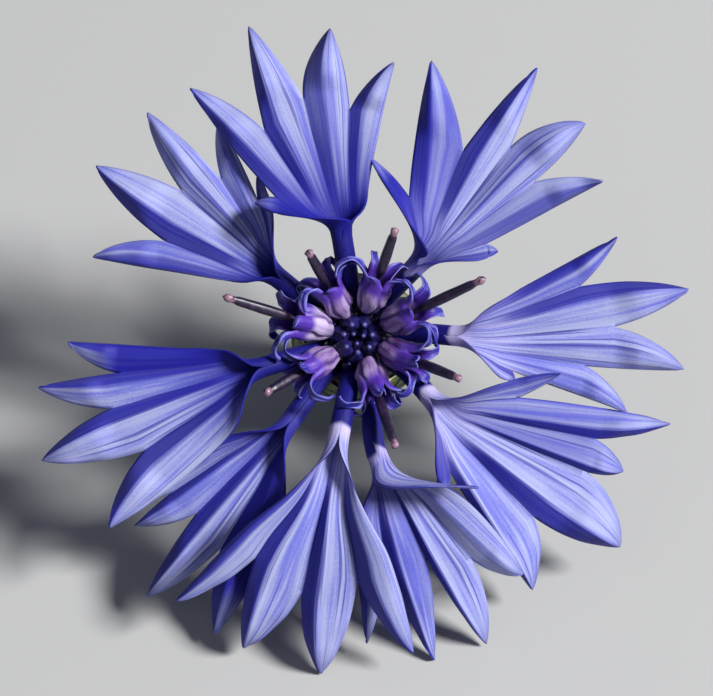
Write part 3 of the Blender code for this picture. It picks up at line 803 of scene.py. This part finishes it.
# %% [markdown]
# ## Lobes that roll back
# The goblet parts into five narrow lobes, which roll back like wood shavings. It could be spun, but its
# lobes are not round; five equal strips are easier. The first rows of a strip wrap a fifth of the goblet
# round the spine, and its last rows leave the mouth and curl.

# %% Five strips for each floret
CURLS = (  # (azimuth, degrees of roll, radius): rolled far on the outer side, little on the inner one
    (36, 195, 1.0), (108, 150, 1.25), (180, 60, 2.0), (252, 150, 1.25), (324, 195, 1.0),
)
ROLL_SPREAD = (-45, 30)
RADIUS_SPREAD = (0.85, 1.25)
ASIDE_SPREAD = (-0.7, 0.7)
TIGHTENING = 0.3  # how much tighter a lobe rolls by its tip
FIFTH = 360 / len(CURLS)
FURROW = 0.2  # how deep the seams between the fifths are, as a share of the radius
STRAP_WIDTH = 0.82  # a lobe's width, how much wider it is at the mouth, and how it runs to its tip
STRAP_FLARE = 0.18
STRAP_FLARE_END = 0.22
STRAP_TAPER = 0.85
STRAP_POWER = 2.2
GOBLET_ROWS = 20
LOBE_ROWS = 18
LOBE_COLUMNS = 8
SHEET = 0.08


def strap_width(share):
    """A lobe's width against its width at the mouth."""
    width = STRAP_WIDTH + STRAP_FLARE * (1 - smooth(0.0, STRAP_FLARE_END, share))
    return width * (1 - STRAP_TAPER * share ** STRAP_POWER)


class Curl(NamedTuple):
    """How a lobe rolls back."""

    angle: float  # in radians
    radius: float
    aside: float  # how far its tip stands to one side


def curls_of(disc):
    """The azimuth and the roll of each of the five lobes."""
    draw = random.Random(int(disc.azimuth))
    return [
        (azimuth, Curl(angle=math.radians(angle + draw.uniform(*ROLL_SPREAD)),
                       radius=radius * draw.uniform(*RADIUS_SPREAD), aside=draw.uniform(*ASIDE_SPREAD)))
        for azimuth, angle, radius in CURLS
    ]


def disc_strip(bm, disc, spine, length, azimuth, curl):
    """A fifth of the goblet, with its lobe."""
    cells = strip(bm, LOBE_COLUMNS, GOBLET_ROWS + LOBE_ROWS)

    def corner(column, row):
        t = 2 * column / LOBE_COLUMNS - 1
        share = max(0, row - GOBLET_ROWS) / LOBE_ROWS
        from_mouth = share * curl.angle * curl.radius if share else (row / GOBLET_ROWS - 1) * length
        return (LOBE_STRIDE * azimuth / FIFTH + t, from_mouth), (share, disc.paleness_and_light), (t, 0.0), (0.0, 0.0)

    keep_maps(bm, cells, corner)
    for vertex, (column, row) in cells.items():
        t = 2 * column / LOBE_COLUMNS - 1
        if row <= GOBLET_ROWS:
            share = row / GOBLET_ROWS
            furrow = 1 - FURROW * t ** 4 * smooth(0.5, 0.75, share)
            place = around(goblet_radius(disc, share) * furrow, azimuth + disc.turn + FIFTH / 2 * t, 0.0)
            vertex.co = uneven(spine_frame(spine, share) @ place, disc.azimuth)
            continue
        share = (row - GOBLET_ROWS) / LOBE_ROWS
        mouth = goblet_radius(disc, 1.0) * (1 - FURROW * t ** 4)
        wrap = math.radians(FIFTH / 2 * t)
        side = mouth * math.sin(wrap) * strap_width(share)
        inward = mouth * (1 - math.cos(wrap)) * strap_width(share)
        roll = curl.angle * share
        radius = curl.radius * (1 - TIGHTENING * share)
        out = mouth + radius * (1 - math.cos(roll)) - inward * math.cos(roll)
        up = radius * math.sin(roll) + inward * math.sin(roll)
        local = Vector((out, side + curl.aside * share * share, up))
        turn = Matrix.Rotation(math.radians(azimuth + disc.turn), 4, "Z")
        vertex.co = uneven(spine_frame(spine, 1.0) @ turn @ local, disc.azimuth)


def disc_floret(disc):
    """Five strips, merged along their seams."""
    spine = disc_spine(disc)
    length = (spine[1] - spine[0]).length + (spine[2] - spine[1]).length
    bm = mapped_mesh()
    for azimuth, curl in curls_of(disc):
        disc_strip(bm, disc, spine, length, azimuth, curl)
    bmesh.ops.remove_doubles(bm, verts=bm.verts, dist=MERGE)
    return bm


print("a disc floret's strip:", LOBE_COLUMNS, "columns and", GOBLET_ROWS + LOBE_ROWS, "rows")

# %% [markdown]
# ## Disc finish
# The goblet is rose or lilac along its veins. Goblets that face the lamp are painted nearly white, as
# painted light, and the others a darker rose, as painted shade. The seams between its fifths are dark,
# partly as veins and partly as painted shade, and its lower part, deep among the florets, is painted shade.
# The lobes are violet at the mouth and turn to the rays' blue within about a millimetre. The vein map says
# how far a point lies from the mouth, so one step parts the two colours.

# %% Lilac goblets and blue lobes
GOBLET_PALE = (0.46, 0.38, 0.58, 1)
GOBLET_ROSE_AND_SHADE = (0.115, 0.034, 0.21, 1)
GOBLET_VEIN_AND_SHADE = (0.032, 0.010, 0.12, 1)
MOUTH_VIOLET = (0.085, 0.022, 0.34, 1)
CURL_BLUE = (0.016, 0.011, 0.24, 1)
CURL_PALE = (0.19, 0.19, 0.60, 1)


def disc_finish():
    finish = Finish("disc_violet", {"Specular IOR Level": 0.5})
    vein_u, vein_v = finish.map("vein")
    reach, paleness_and_light = finish.map("reach")
    across = abs(finish.map("fold")[0])
    streaks = finish.speckle(finish.vector(vein_u * 3.2, vein_v * 0.25, 1.0), 1.0, 3.0)
    patches = finish.speckle(finish.place(), 700.0, 2.0)
    grain = finish.speckle(finish.place(), 5000.0, 2.0)
    # Painted light and shade: goblets that face the lamp are paler with less rose, and the others are
    # painted a darker rose.
    rose = finish.step(0.36, 0.60, streaks * 0.6 + patches * 0.4) * (1.0 - paleness_and_light * 0.55)
    goblet = finish.blend(rose, GOBLET_PALE, GOBLET_ROSE_AND_SHADE)
    goblet = finish.blend((1 - paleness_and_light) * 0.6, goblet, GOBLET_ROSE_AND_SHADE)
    # The seams between the fifths are dark, partly as veins and partly as painted shade in the furrows; the
    # goblet's lower part, deep among the florets, is painted shade.
    goblet = finish.blend(finish.step(0.62, 1.0, across) * 0.8, goblet, GOBLET_VEIN_AND_SHADE)
    goblet = finish.blend(1 - finish.step(-3.6, -2.4, vein_v), goblet, GOBLET_VEIN_AND_SHADE)
    lobe = finish.blend(finish.step(0.50, 0.72, streaks), CURL_BLUE, CURL_PALE)
    lobe = finish.blend(finish.step(0.66, 0.94, across) * 0.75, lobe, CURL_PALE)
    lobe = finish.blend((1 - finish.step(0.2, 1.4, vein_v)) * 0.8, lobe, MOUTH_VIOLET)
    body = finish.blend(finish.step(-1.0, -0.2, vein_v + patches * 0.8 - 0.4), goblet, lobe)
    finish.colour(body)
    finish.roughness(0.40 + 0.2 * grain)
    finish.relief(streaks + grain * 0.2, 0.00010, 0.8)
    return finish.material


disc_violet = disc_finish()
for number, disc in enumerate(DISCS, 1):
    finished(f"floret_{number}", disc_floret(disc), disc_violet, "disc_violet", f"disc_floret_{number}",
             thickness=SHEET)

# %% [markdown]
# ## Rolled shapes
# Anther columns, buds, cup and stem are all nearly round. Each is rolled up from a grid: the columns run
# round it and the rows run along it, and the seam is merged. A profile gives its radius along the way,
# and a function of its own places each point, so ridges, furrows and bends cost only a line.

# %% A roller for grids


def turned_profile(profile, share):
    """A smooth line through (share, radius) points."""
    for (low, first), (high, second) in zip(profile, profile[1:]):
        if share <= high:
            return first + (second - first) * smooth(low, high, share)
    return profile[-1][1]


def rolled(bm, columns, rows, place):
    """A grid rolled up round an axis: place gives a point from degrees round it and a share along it."""
    cells = strip(bm, columns, rows)
    keep_maps(bm, cells, lambda column, row: ((column / columns, row / rows), (row / rows, 0.0)))
    for vertex, (column, row) in cells.items():
        vertex.co = place(360 * column / columns, row / rows)
    bmesh.ops.remove_doubles(bm, verts=list(cells), dist=MERGE)


print("halfway up a bulge from 0 to 1:", turned_profile(((0, 0), (1, 1)), 0.5))

# %% [markdown]
# ## Anther columns
# The stamens of a disc floret are joined in a dark tube, which carries the pale, cleft stigma out on top.
# It has five faint ridges and leans outward more than its floret does. The column is glossy and almost
# black, and only its top, above the narrow waist, takes the stigma's dull pink.

# %% A column in each floret
ANTHER_RADIUS = 0.37
ANTHER_RISE = 2.6  # how far its tip stands above the floret's mouth
ANTHER_ROOT = 0.7  # where it starts, as a share of the way from the floret's elbow to its mouth
ANTHER_STRAIGHT = 1.2  # how far past the mouth the floret's own line draws it
ANTHER_RIDGES = 5
ANTHER_RIDGE = 0.05
ANTHER_COLUMNS = 20
ANTHER_ROW = 0.18
ANTHER_PROFILE = (  # (share of its length, share of its radius)
    (0.0, 0.35), (0.25, 0.5), (0.42, 0.95), (0.6, 1.0),
    (0.85, 0.88), (0.91, 0.62), (0.96, 0.85), (1.0, 0.0),
)


def anther_column(disc):
    floret = disc_spine(disc)
    root = floret[1] + (floret[2] - floret[1]) * ANTHER_ROOT
    elbow = floret[2] + (floret[2] - floret[1]).normalized() * ANTHER_STRAIGHT
    tip = around(disc.anther_reach, disc.azimuth, MOUTH_HEIGHT + ANTHER_RISE)
    length = (tip - root).length

    def place(angle, share):
        ridge = 1 + ANTHER_RIDGE * math.cos(math.radians(ANTHER_RIDGES * angle))
        radius = ANTHER_RADIUS * turned_profile(ANTHER_PROFILE, share) * ridge
        return spine_frame((root, elbow, tip), share) @ around(radius, angle, 0.0)

    bm = mapped_mesh()
    rolled(bm, ANTHER_COLUMNS, round(length / ANTHER_ROW), place)
    return bm


ANTHER_DARK = (0.008, 0.004, 0.022, 1)
ANTHER_PLUM = (0.035, 0.010, 0.05, 1)
STIGMA = (0.28, 0.15, 0.21, 1)


def anther_finish():
    finish = Finish("anther_purple", {"Specular IOR Level": 0.6})
    share = finish.map("reach")[0]
    grain = finish.speckle(finish.place(), 2600.0, 3.0)
    body = finish.blend(finish.step(0.45, 0.75, grain), ANTHER_DARK, ANTHER_PLUM)
    body = finish.blend(finish.step(0.89, 0.93, share) * finish.step(0.30, 0.5, grain), body, STIGMA)
    finish.colour(body)
    finish.roughness(0.25 + 0.25 * grain)
    finish.relief(grain, 0.00006, 0.3)
    return finish.material


anther_purple = anther_finish()
for number, disc in enumerate(DISCS, 1):
    finished(f"anthers_{number}", anther_column(disc), anther_purple, "anther_purple",
             f"anther_column_{number}")

# %% [markdown]
# ## Buds at the centre
# The florets in the middle have not opened. Each is a pointed, five-furrowed bud on its tube, dark navy
# and a little glossy. They stand in three rings, one inside the other, and the outermost lean out.

# %% Furrowed buds
BUD_RADIUS = 0.78
BUD_START = 0.4
BUD_BOW = 0.35
BUD_TWIST = 50  # degrees from foot to tip
BUD_TURN = 40  # degrees from one bud to the next
BUD_STAGGER = 0.4  # every other bud of a ring is this much lower
BUD_FURROWS = 5
BUD_FURROW = 0.16
FURROW_SHARPNESS = 6
BUD_GRID = (40, 28)
BUD_RINGS = (  # (how many, foot circle, tip circle, top, size, first azimuth)
    (3, 0.40, 0.35, 17.0, 0.80, 20.0),
    (7, 1.10, 0.95, 17.2, 0.98, 12.0),
    (7, 1.50, 1.85, 16.0, 0.70, 46.0),
)
BUD_PROFILE = ((0.0, 0.5), (0.42, 0.6), (0.70, 1.0), (0.82, 0.86), (0.94, 0.32), (1.0, 0.0))


def frame_along(start, end):
    """A matrix at the start, with Z towards the end."""
    z = (end - start).normalized()
    y = z.cross(Vector((end.x, end.y, 0))).normalized()
    return Matrix.Translation(start) @ Matrix((y.cross(z), y, z)).transposed().to_4x4()


def bud_places():
    """The foot, the tip and the size of each bud."""
    foot_height = FLORET_FLOOR + BUD_START
    for count, foot_circle, tip_circle, top, size, first in BUD_RINGS:
        for i in range(count):
            azimuth = first + 360 * i / count
            tip = around(tip_circle, azimuth, top - BUD_STAGGER * (i % 2))
            yield around(foot_circle, azimuth, foot_height), tip, size


def bud_cluster():
    bm = mapped_mesh()
    for number, (foot, tip, size) in enumerate(bud_places()):
        here = frame_along(foot, tip)
        length = (tip - foot).length

        def place(angle, share):
            groove = math.cos(math.radians(BUD_FURROWS / 2 * angle + BUD_TURN * number))
            furrow = 1 - BUD_FURROW * abs(groove) ** FURROW_SHARPNESS
            radius = BUD_RADIUS * size * turned_profile(BUD_PROFILE, share) * furrow
            bow = Vector((BUD_BOW * math.sin(math.pi * share), 0, 0))
            return here @ (around(radius, angle + BUD_TWIST * share, share * length) + bow)

        rolled(bm, *BUD_GRID, place)
    return bm


BUD_NAVY = (0.004, 0.0035, 0.030, 1)
BUD_VIOLET = (0.017, 0.012, 0.10, 1)


def bud_finish():
    finish = Finish("bud_navy", {"Specular IOR Level": 0.4})
    share = finish.map("reach")[0]
    grain = finish.speckle(finish.place(), 900.0, 3.0)
    fine = finish.speckle(finish.place(), 7000.0, 2.0)
    body = finish.blend(finish.step(0.4, 0.65, grain), BUD_NAVY, BUD_VIOLET)
    body = finish.blend(finish.step(0.93, 1.0, share) * 0.5, body, CURL_PALE)
    finish.colour(body)
    finish.roughness(0.22 + 0.22 * fine)
    finish.relief(fine, 0.00006, 0.5)
    return finish.material


finished("buds", bud_cluster(), bud_finish(), "bud_navy", "bud_cluster")

# %% [markdown]
# ## The involucre
# Six rows of bracts overlap like roof tiles. Each bract is a green scale with a thin, dark, fringed margin,
# and only its tip shows above the row below. Every bract is a small grid laid on an egg-shaped outline,
# with teeth cut along both sides by narrowing every other row. The bracts replace the whole involucre, and
# a plain cup, painted dark as shade, fills the space behind them and shows in the gaps between the florets.

# %% Bracts on an egg
INVOLUCRE_OUTLINE = (
    (0.0, 1.5), (1.4, 3.1), (3.2, 4.2), (5.2, 4.65), (7.4, 4.5), (9.8, 4.0), (12.2, 3.4),
)
BRACT_ROWS = 6
BRACTS_IN_ROW = 10
BRACT_STEP = 0.30  # how far a bract's tip stands out
BRACT_FOOT = 0.15  # of that step, the share its foot already has
BRACT_CUPPING = 0.35  # of that step, the share its sides lack
BRACT_PITCH = CUP_TOP / (BRACT_ROWS + 0.5)
BRACT_LENGTH = 2.0 * BRACT_PITCH
BRACT_OVERLAP = 1.15  # a bract's width against its share of the row
BRACT_SWAY = 2
BRACT_TIP = 0.96  # how much narrower it is at the tip
BRACT_END = 0.05  # how far the first and last rows stay from the cup's ends
BRACT_RIM = 0.03  # how far its sides are pressed in
BRACT_COLUMNS = 6
BRACT_TEETH = 9
TOOTH_DEPTH = 0.12
BRACT_THICKNESS = 0.1
CORE_INSET = 0.12
CORE_RIM = 0.04  # the share of the core's rows that closes each end
CORE_GRID = (60, 50)


def involucre_radius(z):
    """The outline's radius at this height."""
    for (low, first), (high, second) in zip(INVOLUCRE_OUTLINE, INVOLUCRE_OUTLINE[1:]):
        if z <= high:
            return first + (second - first) * (z - low) / (high - low)
    return INVOLUCRE_OUTLINE[-1][1]


def cup_core():
    bm = mapped_mesh()

    def place(angle, share):
        rim = min(smooth(0.0, CORE_RIM, share), smooth(0.0, CORE_RIM, 1 - share))
        z = CUP_TOP * min(1.0, max(0.0, (share - CORE_RIM) / (1 - 2 * CORE_RIM)))
        return around((involucre_radius(z) - CORE_INSET) * rim, angle, z)

    rolled(bm, *CORE_GRID, place)
    return bm


def grow_bract(bm, row, number):
    """One bract. Every other row is turned by half a bract, so tips lie over the next row's gaps."""
    draw = random.Random(f"bract {row} {number}")
    azimuth = 360 * (number + 0.5 * (row % 2)) / BRACTS_IN_ROW + draw.uniform(-BRACT_SWAY, BRACT_SWAY)
    tone = draw.random()
    top = min(BRACT_PITCH * (row + 1.5), CUP_TOP - BRACT_END)
    bottom = max(BRACT_END, top - BRACT_LENGTH)
    rows = 2 * BRACT_TEETH
    cells = strip(bm, BRACT_COLUMNS, rows)
    half = 180 / BRACTS_IN_ROW * BRACT_OVERLAP

    def place(column, line):
        share = line / rows
        t = 2 * column / BRACT_COLUMNS - 1
        tooth = TOOTH_DEPTH * (line % 2) * smooth(0.3, 0.5, share) * abs(t) ** 3
        width = half * (1 - smooth(0.45, 1.0, share) ** 1.2 * BRACT_TIP) * (1 - tooth)
        z = bottom + (top - bottom) * share
        out = BRACT_STEP * (BRACT_FOOT + (1 - BRACT_FOOT) * share) * (1 - BRACT_CUPPING * t * t)
        return around(involucre_radius(z) + out - BRACT_RIM * abs(t), azimuth + width * t, z)

    def corner(column, line):
        t = 2 * column / BRACT_COLUMNS - 1
        return (t, line / rows), (line / rows, tone), (row / (BRACT_ROWS - 1), 0.0)

    keep_maps(bm, cells, corner)
    for vertex, (column, line) in cells.items():
        vertex.co = place(column, line)


def all_bracts():
    bm = mapped_mesh()
    for row in range(BRACT_ROWS):
        for number in range(BRACTS_IN_ROW):
            grow_bract(bm, row, number)
    return bm


print("bracts:", BRACT_ROWS * BRACTS_IN_ROW)

# %% [markdown]
# ## Bract finish
# A bract is green with paler streaks along it. Its margin is nearly black, and outside that runs a thin
# fringe, greyish below and straw or rust at the top row. Both are found by the distance from the middle
# line and the nearness of the tip, so they run round every scale.

# %% Green scales with dark margins
BRACT_GREEN = (0.12, 0.19, 0.055, 1)
BRACT_LIGHT = (0.26, 0.34, 0.13, 1)
BRACT_MARGIN = (0.035, 0.016, 0.012, 1)
BRACT_FRINGE = (0.40, 0.34, 0.27, 1)
BRACT_STRAW = (0.56, 0.52, 0.26, 1)
BRACT_RUST = (0.30, 0.12, 0.045, 1)
# painted shade: the cup's top shows only in the gaps between the florets
CUP_SHADE = (0.025, 0.022, 0.03, 1)


def bract_finish():
    finish = Finish("bract_green", {})
    across, share = finish.map("vein")
    tone, row = finish.map("reach")[1], finish.map("fold")[0]
    streaks = finish.speckle(finish.vector(across * 9.0, share * 1.5, 0.0), 1.0, 3.0)
    body = finish.blend(finish.step(0.35, 0.7, streaks), BRACT_GREEN, BRACT_LIGHT)
    edge = abs(across) ** 3 + finish.step(0.80, 0.97, share)
    rim = finish.step(0.30, 0.50, edge) * finish.step(0.25, 0.5, share)
    body = finish.blend(rim, body, BRACT_MARGIN)
    top = finish.step(0.85, 0.95, row)
    straw = finish.blend(finish.step(0.4, 0.6, tone), BRACT_STRAW, BRACT_RUST)
    fringe = finish.blend(top, BRACT_FRINGE, straw)
    reach = finish.step(0.85, 0.98, edge + top * 0.35) * finish.step(0.25, 0.5, share)
    body = finish.blend(reach, body, fringe)
    finish.colour(body)
    finish.roughness(0.55 + 0.2 * streaks)
    finish.relief(streaks, 0.00012, 0.6)
    return finish.material


bract_green = bract_finish()
finished("bracts", all_bracts(), bract_green, "bract_green", "involucre", thickness=BRACT_THICKNESS)
# The cup is painted dark as shade.
cup_shade = Finish("cup_shade", {"Base Color": CUP_SHADE, "Roughness": 0.8}).material
finished("cup", cup_core(), cup_shade, "bract_green")  # it stands for no solid of its own

# %% [markdown]
# ## The cut stem
# The stem is ribbed and a little woolly. It was cut on a slant, level with the surface the head lies on, so
# a plane through that level clears away what is below, and a face closes the cut.

# %% A ribbed stub
STEM_RADIUS = 0.95
STEM_RIBS = 6
STEM_RIB_DEPTH = 0.12
STEM_PROFILE = ((-12.0, 1.0), (-2.2, 1.0), (-1.1, 1.08), (-SEAT, 1.45))  # (height, swelling)
STEM_GRID = (72, 70)
STEM_TOP_ROUND = 0.03  # the share of the rows that rounds its top


def stem_stub():
    """A ribbed rod, cut off level with the ground."""
    bm = mapped_mesh()
    low, high = STEM_PROFILE[0][0], STEM_PROFILE[-1][0]
    profile = [((z - low) / (high - low), swell) for z, swell in STEM_PROFILE]

    def place(angle, share):
        rib = STEM_RIB_DEPTH * (0.5 - 0.5 * math.cos(math.radians(STEM_RIBS * angle)))
        swell = turned_profile(profile, share) * smooth(0.0, STEM_TOP_ROUND, 1 - share) ** 0.5
        return around((STEM_RADIUS - rib) * swell, angle, low + (high - low) * share)

    rolled(bm, *STEM_GRID, place)
    ground = HEAD.inverted() @ Vector((0, 0, 0))
    down = (HEAD.inverted().to_3x3() @ Vector((0, 0, -1))).normalized()
    cut = bmesh.ops.bisect_plane(
        bm, geom=bm.verts[:] + bm.edges[:] + bm.faces[:], dist=1e-5,
        plane_co=ground, plane_no=down, clear_outer=True,
    )
    rim = [item for item in cut["geom_cut"] if isinstance(item, bmesh.types.BMEdge)]
    bmesh.ops.contextual_create(bm, geom=rim)
    return bm


STEM_GREEN = (0.17, 0.25, 0.10, 1)
STEM_WOOL = (0.46, 0.52, 0.40, 1)


def stem_finish():
    finish = Finish("stem_green", {})
    around_it, along_it = finish.map("vein")
    wool = finish.speckle(finish.vector(around_it * 60.0, along_it * 9.0, 0.0), 1.0, 4.0)
    body = finish.blend(finish.step(0.42, 0.75, wool), STEM_GREEN, STEM_WOOL)
    finish.colour(body)
    finish.roughness(0.6 + 0.2 * wool)
    finish.relief(wool, 0.00012, 0.8)
    return finish.material


finished("stem_stub", stem_stub(), stem_finish(), "stem_green", "stem")

# %% [markdown]
# ## Light, floor and camera
# The floor is a plain pale sheet. The key lamp is a disk to the right and above, because folded petals
# need a side light to show their creases. A weak, broad fill from the left and a dim pale blue sky keep
# the shadows open. The camera looks straight down the head's axis through a long lens.

# %% Studio
CAMERA_DISTANCE = 180.0
FACE_HEIGHT = 16.0
LOOKED_AT = (-0.1, -0.7, FACE_HEIGHT)
SPAN = 49.5  # the width that the camera sees there, in millimetres
SENSOR = 36.0
LAMP_DISTANCE = 1.5  # this and the lamps' sizes are in metres
FLOOR_SIZE = 3.0
FLOOR_GREY = (0.42, 0.42, 0.41, 1)
SKY_COLOUR = (0.66, 0.71, 1.0, 1)
SKY_STRENGTH = 0.15


def aim(obj, place, target):
    obj.location = place
    obj.rotation_euler = (target - place).to_track_quat("-Z", "Y").to_euler()


def lamp(name, direction, size, power):
    """A soft disk that shines on the head from a direction in the head's own frame."""
    data = bpy.data.lights.new(name, "AREA")
    data.shape = "DISK"
    data.size = size
    data.energy = power
    obj = bpy.data.objects.new(name, data)
    bpy.context.scene.collection.objects.link(obj)
    target = HEAD @ Vector((0, 0, FACE_HEIGHT))
    turned = (HEAD.to_3x3() @ Vector(direction)).normalized()
    aim(obj, target + turned * LAMP_DISTANCE, target)


def studio_floor():
    bm = bmesh.new()
    bmesh.ops.create_grid(bm, x_segments=1, y_segments=1, size=FLOOR_SIZE)
    mesh = bpy.data.meshes.new("floor")
    bm.to_mesh(mesh)
    bm.free()
    obj = bpy.data.objects.new("floor", mesh)
    bpy.context.scene.collection.objects.link(obj)
    finish = Finish("floor_paper", {"Base Color": FLOOR_GREY, "Roughness": 0.9})
    mesh.materials.append(finish.material)


def studio_camera():
    data = bpy.data.cameras.new("camera")
    data.sensor_width = SENSOR
    data.lens = SENSOR * CAMERA_DISTANCE / SPAN
    data.clip_start = 0.01
    obj = bpy.data.objects.new("camera", data)
    bpy.context.scene.collection.objects.link(obj)
    target = Vector(LOOKED_AT)
    obj.matrix_world = HEAD.to_3x3().normalized().to_4x4()
    obj.location = HEAD @ (target + Vector((0, 0, CAMERA_DISTANCE)))
    bpy.context.scene.camera = obj
    print("the camera stands", CAMERA_DISTANCE, "mm off, with a lens of", round(data.lens), "mm")


studio_floor()
studio_camera()
lamp("key", (0.66, 0.30, 0.66), size=0.4, power=40.0)
lamp("fill", (-0.5, 0.2, 0.8), size=1.0, power=1.1)
sky = bpy.data.worlds.new("sky")
sky.use_nodes = True
sky.node_tree.nodes["Background"].inputs["Color"].default_value = SKY_COLOUR
sky.node_tree.nodes["Background"].inputs["Strength"].default_value = SKY_STRENGTH
bpy.context.scene.world = sky
bpy.context.scene.view_settings.view_transform = "Standard"

# %% [markdown]
# ## Closing
